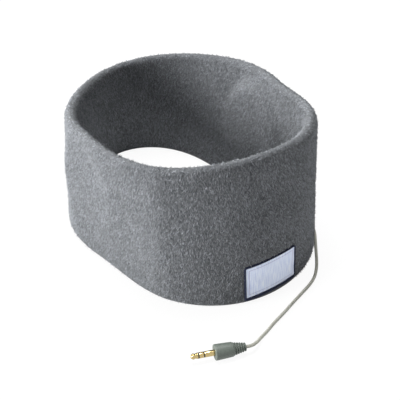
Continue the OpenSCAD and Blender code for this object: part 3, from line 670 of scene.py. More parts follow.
# %% Patches of cloth
# The last rows of a face turn up under the hem, where no pile shows, and none grows below 1.8 mm
HIDDEN_ROWS, BARE_BELOW = 6, 1.8
# How far past the label's edge the cloth is bare: at its ends, above it and below it
BARE_ENDS, BARE_ABOVE, BARE_UNDER = 1.5, 1.9, 5


def pile_patch(name, outer, first, last):
    """A piece of the cloth's surface between two stations, with its bare attribute."""
    count = int(SHOWN_ROWS - HIDDEN_ROWS)
    rows = np.arange(count) if outer else np.concatenate([[0], len(GRID) - np.arange(1, count)])
    columns = np.arange(first, last + 1)
    grid = GRID[rows][:, columns % STATIONS]
    faces = grid_faces(len(rows), len(columns), False, False)
    patch = mesh_piece(name, grid.reshape(-1, 3), faces if outer else [f[::-1] for f in faces])
    right, up = on_label(BACK + 360 * columns / STATIONS, grid[..., 2])
    under = (np.abs(right) < LABEL_W / 2 + BARE_ENDS) & (up < LABEL_H / 2 + BARE_ABOVE)
    under &= (up > -LABEL_H / 2 - BARE_UNDER) & outer
    bare = patch.data.attributes.new("bare", "FLOAT", "POINT")
    bare.data.foreach_set("value", (under | (grid[..., 2] < BARE_BELOW)).astype(float).ravel())
    return patch


def map_tufts(piece):
    """One square of the map for each tuft, with its three faces side by side."""
    faces = len(piece.data.polygons)
    side = math.ceil(math.sqrt(faces / 3))
    face = np.repeat(np.arange(faces), 3)
    tuft, strip = face // 3, face % 3
    corner = np.tile([[0.1, 0.1], [0.9, 0.1], [0.5, 0.9]], (faces, 1))
    place = np.stack([tuft % side + (strip + corner[:, 0]) / 3, tuft // side + corner[:, 1]], 1) / side
    piece.data.uv_layers.new(name="OFBake").data.foreach_set("uv", place.ravel())


print("rows in a patch", int(SHOWN_ROWS - HIDDEN_ROWS))

# %% Pile on the band
# Real pile has finer and closer tufts, so each of these stands for a few. A clump is 1.7 mm wide
TUFTS_PER_MM2, TUFT_LENGTH, TUFT_WIDTH, CLUMP = 2.6, 1.3, 0.48, 1.7
FIRST_SEED, HALF_BAND = 11, STATIONS // 2

for number, (name, outer, first) in enumerate([
        ("pile_outer_right", True, 0), ("pile_outer_left", True, HALF_BAND),
        ("pile_inner_right", False, 0), ("pile_inner_left", False, HALF_BAND)]):
    patch = pile_patch(name + "_patch", outer, first, first + HALF_BAND)
    map_tufts(grow(name, patch, PILE_TREE, {
        "Tufts per square metre": TUFTS_PER_MM2 / MM ** 2, "Tuft length": TUFT_LENGTH * MM,
        "Tuft width": TUFT_WIDTH * MM, "Brushed down": 1.2, "Scatter": 0.3,
        "Clumps per metre": 1 / (CLUMP * MM), "Clump lean": 3.4,
        "Seed": FIRST_SEED + number, "Material": pile}))

# %% [markdown]
# The label is a piece of woven satin ribbon, sewn on with a dark overlocked edge all round. It is left bare
# but for a plain woven frame line. A picture on a flat card would be the quick way, but ribbon follows the
# band: here it is a thin closed sheet on the cloth's own surface, a little puckered along the seam, where
# thread pulls satin in. Its UV map counts millimetres, so that the weave follows the ribbon round the band.

# %% Satin ribbon
# The ribbon's thickness, how far it runs under its edge, and how high it lies over the cloth
RIBBON_T, UNDER_EDGE, RIBBON_LIFT = 0.3, 0.2, 0.45
# How high the seam's puckers stand and how far in they fade, and the height of a slow swell over it all
PUCKER, PUCKER_FADE, SWELL = 0.1, 1.6, 0.06


def label_place(right, up, lift):
    """A point on the label from millimetres right of and above its middle and off the cloth."""
    t, up = math.radians(LABEL_TURN), up + label_bow(right)
    a = angle_at(LABEL_SHIFT + right * math.cos(t) - up * math.sin(t))
    z = LABEL_MIDDLE + right * math.sin(t) + up * math.cos(t)
    return in_wall(a, z, outer_n(a, z) + lift)


def slab(name, top, bottom):
    """A closed thin piece between two grids of points."""
    rows, columns = top.shape[:2]
    n = rows * columns
    rim = [(0, j) for j in range(columns)] + [(i, columns - 1) for i in range(1, rows)]
    rim += [(rows - 1, j) for j in range(columns - 2, -1, -1)] + [(i, 0) for i in range(rows - 2, 0, -1)]
    rim = [i * columns + j for i, j in rim]
    faces = grid_faces(rows, columns, False, False)
    faces += [[n + v for v in f[::-1]] for f in faces]
    faces += [(p, q, n + q, n + p) for p, q in zip(rim, rim[1:] + rim[:1])]
    return mesh_piece(name, np.concatenate([top.reshape(-1, 3), bottom.reshape(-1, 3)]), faces, closed=True)


def map_in_mm(piece, places):
    """A UV map that gives every corner its vertex's place in millimetres, a hundredth each."""
    corners = np.empty(len(piece.data.loops), int)
    piece.data.loops.foreach_get("vertex_index", corners)
    piece.data.uv_layers.new(name="millimetres").data.foreach_set("uv", (places[corners] / 100).ravel())


half_w, half_h = LABEL_W / 2 + UNDER_EDGE, LABEL_H / 2 + UNDER_EDGE
right, up = np.meshgrid(np.linspace(-half_w, half_w, 73), np.linspace(-half_h, half_h, 43))
inset = np.minimum(LABEL_W / 2 - np.abs(right), LABEL_H / 2 - np.abs(up))
pucker = PUCKER * np.sin(1.9 * (right + 0.3 * up)) * np.exp(-((inset / PUCKER_FADE) ** 2))
pucker += SWELL * np.sin(0.35 * right + 0.5 * up)
lift = RIBBON_LIFT + 0.12 * smooth(inset / 3) + pucker * smooth((inset + UNDER_EDGE) / 0.6)
label = slab("satin_label", label_place(right, up, lift), label_place(right, up, lift - RIBBON_T))
map_in_mm(label, np.tile(np.stack([right.ravel(), up.ravel()], 1), (2, 1)))
print("label", len(label.data.polygons), "faces")

# %% [markdown]
# Polyester satin is woven so that long warp threads float over the weft. That gives it a soft streaky shine
# and, here, a cool lilac white. Its threads are too fine to show, so lighter and darker streaks are drawn
# into the colour as coarse as bundles of them: partly the weave's own streaks, partly painted sheen. The
# frame line is found from the distance to the nearest edge, so it needs no drawing.

# %% Satin finish
# In millimetres: the weft's pitch, how far inside the edge the frame line runs and half its width
WEFT, LINE_INSET, LINE_HALF = 1.776, 1.9, 0.22
# How many streaks, of weave and of painted sheen, fit in 100 mm across the ribbon's threads and along them
STREAKS = (160.0, 14.0, 1.0)

satin, tree = new_material("woven_polyester_satin")
flat = put(tree, "ShaderNodeUVMap", uv_map="millimetres").outputs["UV"]
# A wave texture repeats every tenth of pi, and the map's unit is 100 mm
weft = put(tree, "ShaderNodeTexWave", {"Vector": flat, "Scale": math.pi / 10 * 100 / WEFT, "Distortion": 0.6},
           bands_direction="Y")
streaks = put(tree, "ShaderNodeMapping", {"Vector": flat, "Scale": STREAKS}).outputs[0]
streaks = put(tree, "ShaderNodeTexNoise", {"Vector": streaks, "Scale": 1.0, "Detail": 2.0})
# The streaks lighten and darken the satin's colour: painted sheen over the weave's own tone
ground = ramp(tree, streaks.outputs["Fac"], [(0.3, "c4d0ef"), (0.55, "dce6fa"), (0.75, "eff5ff")])
axes, past = put(tree, "ShaderNodeSeparateXYZ", {0: flat}).outputs, []
for axis, half in (("X", LABEL_W / 2), ("Y", LABEL_H / 2)):
    away = put(tree, "ShaderNodeMath", {0: axes[axis]}, operation="ABSOLUTE").outputs[0]
    away = put(tree, "ShaderNodeMath", {0: away, 1: (half - LINE_INSET) / 100}, operation="SUBTRACT")
    past.append(away.outputs[0])
edge = put(tree, "ShaderNodeMath", {0: past[0], 1: past[1]}, operation="MAXIMUM").outputs[0]
line = put(tree, "ShaderNodeMath", {0: edge, 1: 0.0, 2: LINE_HALF / 100}, operation="COMPARE").outputs[0]
line = put(tree, "ShaderNodeMath", {0: line, 1: 0.55}, operation="MULTIPLY").outputs[0]
thread = put(tree, "ShaderNodeMix", {"Factor": line, 6: ground, 7: tint("8f87b4")}, data_type="RGBA")
relief = put(tree, "ShaderNodeBump", {"Strength": 0.25, "Distance": 0.15 * MM, "Height": weft.outputs["Fac"]})
close_material(tree, {"Base Color": thread.outputs[2], "Normal": relief.outputs["Normal"], "Roughness": 0.42,
                      "Sheen Weight": 0.2})
finish_piece(label, satin)
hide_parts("label")
print("material", satin.name, len(tree.nodes), "nodes")

# %% [markdown]
# The overlocked edge is a soft bed of thread with close stitches across it. The bed is a closed ring, and
# wider at its lower run, which reaches down to the hem's rounded edge. The stitches could be a bump in the
# finish, but thread catches light on its own round back, so each is real: one small arch of thread, repeated
# by Geometry Nodes on a carrier whose points say which way each stitch crosses and how far.

# %% Tree of the stitches
def stitch_tree():
    """An arch of round thread on each point, as wide as its span, with its ends sunk in what it holds."""
    tree, given = node_tree("thread_arches", [
        ("Thread radius", "Float"), ("Arch height", "Float"), ("Sunk ends", "Float"),
        ("Material", "Material"),
    ])
    across, rise, span = [
        put(tree, "GeometryNodeInputNamedAttribute", {"Name": name}, data_type=kind).outputs["Attribute"]
        for name, kind in (("across", "FLOAT_VECTOR"), ("rise", "FLOAT_VECTOR"), ("span", "FLOAT"))]
    peak = put(tree, "ShaderNodeMath", {0: given["Arch height"], 1: 2.0, 2: given["Sunk ends"]},
               operation="MULTIPLY_ADD")
    low = put(tree, "ShaderNodeMath", {0: 0.0, 1: given["Sunk ends"]}, operation="SUBTRACT")
    ends = [put(tree, "ShaderNodeCombineXYZ", {"X": x, "Z": z.outputs[0]}).outputs[0]
            for x, z in ((-0.5, low), (0.0, peak), (0.5, low))]
    arch = put(tree, "GeometryNodeCurveQuadraticBezier", {
        "Resolution": 5, "Start": ends[0], "Middle": ends[1], "End": ends[2]})
    strand = put(tree, "GeometryNodeCurvePrimitiveCircle", {
        "Resolution": 5, "Radius": given["Thread radius"]})
    stitch = put(tree, "GeometryNodeCurveToMesh", {
        "Curve": arch.outputs[0], "Profile Curve": strand.outputs[0], "Fill Caps": True})
    turned = put(tree, "FunctionNodeAxesToRotation", {0: rise, 1: across},
                 primary_axis="Z", secondary_axis="X")
    size = put(tree, "ShaderNodeCombineXYZ", {"X": span, "Y": 1.0, "Z": 1.0})
    stitches = put(tree, "GeometryNodeInstanceOnPoints", {
        "Points": given["Geometry"], "Instance": stitch.outputs[0], "Rotation": turned.outputs[0],
        "Scale": size.outputs[0]})
    close_tree(tree, stitches.outputs[0], given["Material"])
    return tree


def carrier(name, places, across, rise, spans):
    """Loose points in millimetres with the attributes that the stitches read."""
    piece = mesh_piece(name, places, [])
    for key, kind, field, values in (("across", "FLOAT_VECTOR", "vector", across),
                                     ("rise", "FLOAT_VECTOR", "vector", rise),
                                     ("span", "FLOAT", "value", np.asarray(spans, float) * MM)):
        attribute = piece.data.attributes.new(key, kind, "POINT")
        attribute.data.foreach_set(field, np.asarray(values, float).ravel())
    return piece


def sew(name, points, material, radius, height, sunk):
    """Stitches, or small hooks, of thread on a carrier's points, sized in millimetres."""
    return grow(name, points, STITCH_TREE, {
        "Thread radius": radius * MM, "Arch height": height * MM, "Sunk ends": sunk * MM,
        "Material": material})


STITCH_TREE = stitch_tree()
print("tree of the stitches", len(STITCH_TREE.nodes), "nodes")

# %% [markdown]
# Most of the other finishes are even, with a fine random grain that comes from how they were moulded,
# plated or spun. One function makes them all from their colours, the grain's width and depth, and their
# gloss. Spun polyester thread is the first: it is matt and a little hairy, so its grain is coarse against
# its width.

# %% Thread finish
def grained(name, stops, grain, depth, rough, metal=0.0, specular=0.5):
    """A finish with a fine random grain, grain millimetres wide and depth deep, coloured by stops."""
    material, tree = new_material(name)
    place = put(tree, "ShaderNodeTexCoord").outputs["Object"]
    noise = put(tree, "ShaderNodeTexNoise", {
        "Vector": place, "Scale": 1 / (grain * MM), "Detail": 3.0, "Roughness": 0.6}).outputs["Fac"]
    relief = put(tree, "ShaderNodeBump", {"Strength": 0.5, "Distance": depth * MM, "Height": noise})
    close_material(tree, {
        "Base Color": ramp(tree, noise, stops), "Normal": relief.outputs["Normal"], "Roughness": rough,
        "Metallic": metal, "Specular IOR Level": specular})
    print("material", name)
    return material


# Spun polyester thread, dyed navy for the label's edge and grey for the seams
navy_thread, grey_thread = [
    grained("spun_polyester_thread_" + dye, [(0.35, shade), (0.6, light)],
            grain=0.35, depth=0.1, rough=0.85, specular=0.2)
    for dye, shade, light in (("navy", "23273a", "30354a"), ("grey", "63676a", "7c8083"))]


# %% Bed of the overlocked edge
# How wide the edge is on three sides and on the lower one, how high its bed stands, and its thread
EDGE_W, LOWER_EDGE_W, EDGE_HEIGHT, THREAD_R = 1.4, 2.8, 0.62, 0.2


def frame_line(half_w, half_h, corner, pitch):
    """Points round a rectangle with small round corners, and the ways to a square-cornered one outside it."""
    points, ways = [], []
    for x, y, start in ((1, 1, 0), (-1, 1, 90), (-1, -1, 180), (1, -1, 270)):
        for t in np.radians(start + np.array([0, 22.5, 45, 67.5, 90])):
            turn = np.array([math.cos(t), math.sin(t)])
            ways.append(turn / np.abs(turn).max())
            points.append(np.array([x * (half_w - corner), y * (half_h - corner)]) + corner * turn)
    points, ways = np.array(points + points[:1]), np.array(ways + ways[:1])
    s = np.concatenate([[0], np.cumsum(np.linalg.norm(np.diff(points, axis=0), axis=1))])
    at = np.linspace(0, s[-1], int(s[-1] / pitch), endpoint=False)
    return [np.stack([np.interp(at, s, v[:, k]) for k in (0, 1)], 1) for v in (points, ways)]


inner, ways = frame_line(LABEL_W / 2 - 0.2, LABEL_H / 2 - 0.1, corner=0.3, pitch=0.5)
widths = [np.full(len(ways), EDGE_W), np.where(ways[:, 1] < 0, LOWER_EDGE_W, EDGE_W)]
outer = inner + ways * np.stack(widths, 1)
# The bed's section, as (share of the width, height): an arched back on a flat foot
profile = [(x, 0.2 + EDGE_HEIGHT * (1 - (2 * x - 1) ** 2)) for x in np.linspace(0, 1, 9)]
profile += [(0.9, 0.0), (0.1, 0.0)]
ring = np.array([label_place(*(inner + x * (outer - inner)).T, lift) for x, lift in profile])
ring_faces = grid_faces(len(ring), len(inner), True, True)
bed = mesh_piece("overlock_edge", ring.reshape(-1, 3), ring_faces, closed=True)
finish_piece(bed, navy_thread)
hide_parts("label_edge")
print("bed", len(bed.data.polygons), "faces")

# %% Stitches of the overlocked edge
feet = label_place(*inner.T, 0.25), label_place(*outer.T, 0.15)
rises = level_out(angle_at(LABEL_SHIFT + inner[:, 0]), LABEL_MIDDLE)
crossing = feet[1] - feet[0]
# Each stitch leans a little towards the next, as overlock does
slant = 0.12 * unit(np.roll(feet[0], -1, axis=0) - feet[0])
edge_points = carrier("overlock_points", (feet[0] + feet[1]) / 2, unit(crossing) + slant, rises,
                      np.linalg.norm(crossing, axis=1))
stitches = sew("overlock_stitches", edge_points, navy_thread,
               radius=THREAD_R, height=EDGE_HEIGHT + 0.08, sunk=0.15)

# %% [markdown]
# The hem is sewn down with one row of straight stitches in thread of the cloth's own colour, which shows
# only on the inside. The tree of the label's edge makes it too, with arches that run along the seam.

# %% Hem seam
# A stitch's length, the gap to the next, the seam's height and the thread's radius
STITCH_L, STITCH_GAP, SEAM_Z, SEAM_THREAD_R = 2.6, 0.8, 9.6, 0.25

seam_arc, pitch = RIGHT_ARC[-1] + LEFT_ARC[-1], STITCH_L + STITCH_GAP
seam_a = angle_at(-LEFT_ARC[-1] + np.arange(int(seam_arc / pitch)) * pitch)
seam_points = carrier("hem_seam_points", in_wall(seam_a, SEAM_Z, -outer_n(seam_a, SEAM_Z) - 0.3),
                      along(seam_a, SEAM_Z), -level_out(seam_a, SEAM_Z), np.full(len(seam_a), STITCH_L))
sew("hem_seam", seam_points, grey_thread, radius=SEAM_THREAD_R, height=0.3, sunk=0.5)

# %% [markdown]
# A strip of hook tape and a strip of loop tape close the opening through which the speakers are taken out.
# Each is a woven ribbon that stands in the hem, with its hooks or loops towards the other. Real tape has
# hundreds of hooks in each square centimetre, so fewer and bigger ones stand for them, made by the same
# tree. Both tapes are nylon: the hooks are stiff clear-cut monofilament with a faint gloss, and the loops
# are matt.

# %% Hook and loop tapes
# Heights of the tapes' edges, the ribbon's thickness and how many degrees short of the opening it ends
TAPE_LOW, TAPE_HIGH, TAPE_BACKING, TAPE_MARGIN = 1.0, 11.0, 0.4, 0.1
# The hooks: their span, their thread, the degrees left bare at the ends, and how many there are each way
HOOK_SPAN, HOOK_R, HOOK_MARGIN, HOOK_ROWS, HOOK_COLUMNS = 0.9, 0.1, 0.8, 7, 30
# How far the hooks and the loops stay below the tape's near side
HOOK_CLEAR = 0.15


def tape(name, near, far, finish, node):
    """A ribbon between two distances from the hem's middle, with small arches on its near side."""
    a, z = np.meshgrid(np.linspace(TAPE_FROM + TAPE_MARGIN, TAPE_TO - TAPE_MARGIN, 41),
                       np.linspace(TAPE_LOW, TAPE_HIGH, 9))
    back = far - math.copysign(TAPE_BACKING, far)
    ribbon = slab(name, in_wall(a, z, far), in_wall(a, z, back))
    finish_piece(ribbon, finish)
    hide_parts(node)
    a, z = [v.ravel() for v in np.meshgrid(
        np.linspace(TAPE_FROM + HOOK_MARGIN, TAPE_TO - HOOK_MARGIN, HOOK_COLUMNS),
        np.linspace(TAPE_LOW + 1, TAPE_HIGH - 1, HOOK_ROWS))]
    towards = -math.copysign(1, far) * level_out(a, z)
    spots = carrier(name + "_points", in_wall(a, z, back), along(a, z), towards, np.full(len(a), HOOK_SPAN))
    arches = sew(name + "_pile", spots, finish,
                 radius=HOOK_R, height=abs(back - near) - HOOK_CLEAR, sunk=0.1)


hook_nylon = grained("woven_nylon_hook_tape", [(0.35, "1c1d1e"), (0.6, "2a2b2c")],
                     grain=0.5, depth=0.1, rough=0.55)
loop_nylon = grained("brushed_nylon_loop_tape", [(0.35, "4d5052"), (0.6, "66696b")],
                     grain=0.5, depth=0.1, rough=0.9, specular=0.2)
tape("hook_ribbon", 0.05, 1.05, hook_nylon, "hook_tape")
tape("loop_ribbon", -0.05, -1.05, loop_nylon, "loop_tape")

# %% [markdown]
# The cord is thin, round and limp. It comes down out of the hem, runs along the outside of the band on
# the table to a neat flat coil beside the band, where the camera can't see it, and comes back round to the
# plug. A physics run could lay it, but the photograph fixes how the seen part lies, so its route is a list
# of points, those of the CAD source. One smooth curve goes through them all.

# %% Cord: out of the band and along the table
CORD_R, BEND_R, FLOOR_REACH = 1.0, 4.0, 6.3
EXIT_WAY, EXIT_FOOT = level_out(EXIT_ANGLE, 0), in_wall(EXIT_ANGLE, 0, 0)


def exit_arc(t):
    """A point on the bend from the hem down to the table."""
    t = math.radians(t)
    return EXIT_FOOT + BEND_R * (1 - math.cos(t)) * EXIT_WAY + [0, 0, CORD_R + BEND_R * (1 - math.sin(t))]


EXIT_LINE = [SPLIT_MIDDLE - [0, 0, SPLIT_HALF_H + d] for d in (0, 2)] + [in_wall(EXIT_ANGLE, 11, 0)]
EXIT_LINE += [exit_arc(t) for t in (0, 45, 90)]
FLOOR_ROUTE = [(70.7, -35), (72.4, -32), (72.8, -27), (72.4, -17), (71.5, -6), (70.9, 4)]
FLOOR_LINE = [EXIT_FOOT + FLOOR_REACH * EXIT_WAY + [0, 0, CORD_R]]
FLOOR_LINE += [np.array([x, y, CORD_R]) for x, y in FLOOR_ROUTE]
print("points to the coil", len(EXIT_LINE + FLOOR_LINE))

# %% Cord: the coil
COIL_MIDDLE = np.array([88.0, 12.0])
# The hole, the width of the ring of turns, the lanes side by side in it and the room at its two rims
COIL_D, COIL_W, LANES, LANE_ROOM = 24.0, 12.7, 6, 0.2
LANE_R = (COIL_D + COIL_W) / 2 - CORD_R - LANE_ROOM
UPPER_LANE_Z = 3 * CORD_R + 0.1


def coil_line(turns_in, turns_out, per_turn=16):
    """Two layers of turns, clockwise from above: the lower one winds inwards, the upper one back out."""
    points, pitch = [], (COIL_W - 2 * CORD_R - 2 * LANE_ROOM) / (LANES - 1)
    total = turns_in + turns_out
    for i in range(int(total * per_turn) + 1):
        turn = i / per_turn
        lane = turn if turn <= turns_in else max(0.0, total - turn)
        layer = smooth(turn - turns_in + 0.5)
        r = LANE_R - pitch * min(LANES - 1, lane)
        a = math.pi - 2 * math.pi * turn
        points.append(np.array([COIL_MIDDLE[0] + r * math.cos(a), COIL_MIDDLE[1] + r * math.sin(a),
                                CORD_R + layer * (UPPER_LANE_Z - CORD_R)]))
    return points


COIL_LINE = coil_line(5.75, 6.0)
print("points in the coil", len(COIL_LINE))

# %% Cord: round the band to the plug
OUTER_ROUTE = [
    (81.6, -6.4, 2.5), (79, -9.6, 1.6), (78, -15, 1), (77.4, -25, 1), (75.6, -36, 1), (72.6, -44, 1),
    (67.8, -51.2, 1), (62, -58.4, 1), (57, -66.5, 1), (51.2, -73.9, 1), (43.8, -83, 1), (38.5, -89.5, 1),
    (32.5, -96, 1), (26, -101.5, 1), (18.5, -105.5, 1), (10.5, -108.5, 1), (-0.5, -112.5, 1),
    (-11, -116.5, 1), (-21, -120, 1), (-30, -124, 1.6), (-37.5, -127.3, 2.8), (-42.5, -129.6, 3.8),
]
PLUG_END, PLUG_TURN = np.array([-50, -129.5, 4.6]), 160
PLUG_WAY = np.array([math.cos(math.radians(PLUG_TURN)), math.sin(math.radians(PLUG_TURN)), 0])
OUTER_LINE = [np.array(p, float) for p in OUTER_ROUTE] + [PLUG_END - d * PLUG_WAY for d in (3, 0)]
ROUTE = np.array(EXIT_LINE + FLOOR_LINE + COIL_LINE + OUTER_LINE)


def cord_curve(name, points, radius):
    """A round tube on one open Bezier spline through the points."""
    data = bpy.data.curves.new(name, "CURVE")
    data.dimensions, data.bevel_depth, data.bevel_resolution, data.resolution_u = "3D", radius * MM, 3, 4
    data.use_fill_caps = True
    spline = data.splines.new("BEZIER")
    spline.bezier_points.add(len(points) - 1)
    for knot, p in zip(spline.bezier_points, points):
        knot.co = [x * MM for x in p]
        knot.handle_left_type = knot.handle_right_type = "AUTO"
    return link(name, data)


cord = cord_curve("cord_jacket", ROUTE, CORD_R)
print("route points", len(ROUTE), "length in mm", round(np.linalg.norm(np.diff(ROUTE, axis=0), axis=1).sum()))

# %% [markdown]
# The plug is a 3.5 mm stereo plug with a moulded grip and a ribbed strain relief. All its pieces are round
# about one line, as they come off a lathe or out of a round mould, so each is a profile turned about that
# line. Every edge gets a small round in the profile, so that the light catches it.

# %% Turning a profile
PLUG_SIDE = np.array([-PLUG_WAY[1], PLUG_WAY[0], 0])


def spokes(across, up, count):
    """Ways out from a line, evenly round it."""
    angles = 2 * math.pi * np.arange(count) / count
    return np.cos(angles)[:, None] * across + np.sin(angles)[:, None] * up


def turned(name, profile, middle, way, side, up, sides=48):
    """A closed piece turned about a line: profile is [(distance along, radius), ...] from end to end."""
    rings = [middle + z * way + r * spokes(side, up, sides) for z, r in profile]
    points = np.concatenate(rings + [[middle + profile[0][0] * way], [middle + profile[-1][0] * way]])
    faces, n = grid_faces(len(profile), sides, False, True), len(profile) * sides
    faces += [(n, k, (k + 1) % sides) for k in range(sides)]
    faces += [(n + 1, n - sides + (k + 1) % sides, n - sides + k) for k in range(sides)]
    return mesh_piece(name, points, faces, closed=True)


def rounded(corners, radius):
    """A profile whose corners are cut back by radius and rounded in four steps."""
    corners, out = np.array(corners, float), [corners[0]]
    for before, corner, after in zip(corners, corners[1:], corners[2:]):
        way_in, way_out = unit(before - corner), unit(after - corner)
        r = min(radius, 0.45 * np.linalg.norm(before - corner), 0.45 * np.linalg.norm(after - corner))
        start, end = corner + r * way_in, corner + r * way_out
        out += [(1 - t) ** 2 * start + 2 * t * (1 - t) * corner + t ** 2 * end
                for t in (0, 0.25, 0.5, 0.75, 1)]
    return [tuple(q) for q in out + [corners[-1]]]


def on_plug(name, corners, radius):
    """A piece turned about the plug's line."""
    return turned(name, rounded(corners, radius), PLUG_END, PLUG_WAY, PLUG_SIDE, np.array([0, 0, 1.0]))


print("the plug points to", PLUG_WAY.round(3).tolist())

# %% Grip and strain relief
PLUG_R, GRIP_R, GRIP_BACK_R, GRIP_L = 1.75, 4.6, 4.2, 10.6
RELIEF_L, RELIEF_FRONT_R, RELIEF_END_R, GROOVES, GROOVE = 7.6, 3.9, 2.4, 5, 0.7
SHOULDER = RELIEF_L + GRIP_L
RIB = RELIEF_L / (GROOVES + 0.5)


def relief_r(z):
    """The strain relief's radius, which grows from the cord to the grip."""
    return RELIEF_END_R + (RELIEF_FRONT_R - RELIEF_END_R) * z / RELIEF_L


corners = [(0, CORD_R), (0, relief_r(0))]
for k in range(GROOVES):
    corners += [(z * RIB, relief_r(z * RIB) - cut)
                for z, cut in ((k + 0.5, 0), (k + 0.6, GROOVE), (k + 0.9, GROOVE), (k + 1, 0))]
corners += [(RELIEF_L, RELIEF_FRONT_R), (RELIEF_L + 0.3, GRIP_BACK_R), (RELIEF_L + 5, GRIP_BACK_R + 0.25),
            (SHOULDER - 1.2, GRIP_R), (SHOULDER, GRIP_R), (SHOULDER, PLUG_R)]
grip = on_plug("plug_grip_moulding", corners, 0.45)
print("grip", len(grip.data.polygons), "faces")

# %% Contacts and washers
# From the grip's face to the tip's end, and the lengths of the sleeve, a washer, the ring and the tip
METAL_L, SLEEVE_L, WASHER_L, RING_L, TIP_L = 14, 5.8, 0.7, 2.6, 4.2
# The hole through them, and how much lower than the metal a washer is
CORE_R, WASHER_SUNK = 0.9, 0.06
SLEEVE_Z = SHOULDER + SLEEVE_L
RING_Z, TIP_Z = SLEEVE_Z + WASHER_L + RING_L, SHOULDER + METAL_L - TIP_L
# The tip's outline, with the groove in which the socket's spring rests
TIP_PROFILE = [(0, PLUG_R), (0.5, PLUG_R), (1.3, 0.8 * PLUG_R), (1.6, 0.8 * PLUG_R),
               (2.5, PLUG_R), (2.9, PLUG_R), (4.0, 0.55 * PLUG_R), (TIP_L, 0.05)]


def sleeve(low, high, radius):
    """The profile of a plain tube round the plug's core."""
    return [(low, CORE_R), (low, radius), (high, radius), (high, CORE_R)]


contacts = {
    "plug_sleeve": sleeve(SHOULDER, SLEEVE_Z, PLUG_R),
    "plug_ring": sleeve(SLEEVE_Z + WASHER_L, RING_Z, PLUG_R),
    "plug_tip": [(TIP_Z, 0.5)] + [(TIP_Z + z, r) for z, r in TIP_PROFILE],
}
washers = {
    "plug_outer_insulator": sleeve(SLEEVE_Z, SLEEVE_Z + WASHER_L, PLUG_R - WASHER_SUNK),
    "plug_inner_insulator": sleeve(RING_Z, RING_Z + WASHER_L, PLUG_R - WASHER_SUNK),
}
print("plug from", PLUG_END.tolist(), "length", round(SHOULDER + METAL_L, 1))

# %% [markdown]
# The grip is soft PVC, moulded round the contacts: even, grey green and half matt, so its highlight is broad
# and weak. The contacts are turned brass with thin gold plating, whose turning marks are a few hundredths of
# a millimetre deep and are drawn coarser here, so that they show. Their gold is toned darker and duller than
# plating is, a painted reflection of darker surroundings. The washers between them are glass-filled nylon,
# black and dull beside the metal. The cord's jacket is extruded thermoplastic elastomer: warm light grey,
# half matt, with a hint of the twisted wires inside.

# %% Plug and cord finishes
grip_pvc = grained("moulded_soft_pvc", [(0.3, "4c534d"), (0.7, "5f6660")],
                   grain=0.5, depth=0.04, rough=0.5, specular=0.4)
# The gold is toned darker and duller than plating is: a painted reflection of darker surroundings
gold = grained("turned_brass_gold_plated", [(0.3, "b0965c"), (0.7, "cfbf90")],
               grain=0.4, depth=0.02, rough=0.16, metal=1.0)
washer_nylon = grained("moulded_black_nylon", [(0.3, "121212"), (0.7, "1e1e1e")],
                       grain=0.3, depth=0.02, rough=0.5)
jacket = grained("extruded_elastomer_jacket", [(0.3, "93938a"), (0.7, "a7a79d")],
                 grain=1.5, depth=0.05, rough=0.55, specular=0.35)

finish_piece(grip, grip_pvc)
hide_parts("plug_grip")
for shapes, finish, slot in ((contacts, gold, "gold_plating"), (washers, washer_nylon, "black_plastic")):
    for node, corners in shapes.items():
        piece = finish_piece(on_plug(node + "_turned", corners, 0.15), finish)
        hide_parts(node)
finish_piece(cord, jacket)
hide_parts("cord_exit_run", "cord_floor_run", "cord_coil", "cord_outer_run")

# %% [markdown]
# Inside the band each speaker is a flat white case between two discs of foam. The rigid pieces of the CAD
# frame have their true shapes, so they stay and only get their finishes. Each finish below starts from the
# material's common name and from how it was made.

# %% Finishes of the speaker pieces
FINISHES = {
    # Injection-moulded ABS with a fine spark-eroded grain, which keeps its gloss low
    "white_plastic": grained("moulded_abs_white", [(0.3, "deded8"), (0.7, "ebebe6")],
                             grain=0.25, depth=0.03, rough=0.45),
    # Glass-fibre board under green solder mask: the weave shows as a faint mottling under a gloss
    "circuit_board": grained("solder_masked_fr4", [(0.35, "1d5233"), (0.65, "2c7047")],
                             grain=0.6, depth=0.02, rough=0.25),
    # The driver's frame is moulded ABS dyed black, half matt
    "black_plastic": grained("moulded_abs_black", [(0.3, "161617"), (0.7, "242425")],
                             grain=0.3, depth=0.03, rough=0.45),
    # Steel pressed from sheet and nickel plated: bright, with the rolled sheet's fine unevenness
    "plated_steel": grained("pressed_steel_nickel_plated", [(0.3, "b9b7b1"), (0.7, "d0cec8")],
                            grain=0.6, depth=0.02, rough=0.28, metal=1.0),
    # Sintered neodymium under a matt nickel layer, greyer than the steel
    "magnet": grained("sintered_neodymium_plated", [(0.3, "8d8d8f"), (0.7, "a3a3a5")],
                      grain=0.3, depth=0.03, rough=0.42, metal=1.0),
    # Enamelled copper wire in close turns: the lacquer deepens the colour and adds gloss
    "copper_wire": grained("enamelled_copper_wire", [(0.35, "93461f"), (0.65, "c26f3b")],
                           grain=0.25, depth=0.08, rough=0.3, metal=0.8),
    # Thermoformed polyester film, straw coloured and glossy
    "clear_film": grained("formed_polyester_film", [(0.3, "cdbf93"), (0.7, "ded2ab")],
                          grain=1.0, depth=0.02, rough=0.2),
    # The moulded block where the cord splits is of the grip's PVC
    "grip_plastic": grip_pvc,
}
SPEAKER_SLOTS = {
    "case_tray": "white_plastic", "terminal_board": "circuit_board", "driver_frame": "black_plastic",
    "steel_cup": "plated_steel", "magnet": "magnet", "pole_plate": "plated_steel",
    "voice_coil": "copper_wire", "diaphragm": "clear_film", "grille": "plated_steel",
}
kept = {side + "_" + piece: slot for side in ("left", "right") for piece, slot in SPEAKER_SLOTS.items()}
kept["split_block"] = "grip_plastic"
for node, slot in kept.items():
    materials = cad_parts[node].data.materials
    materials.clear()
    materials.append(FINISHES[slot])
print("CAD nodes with finishes", len(kept))

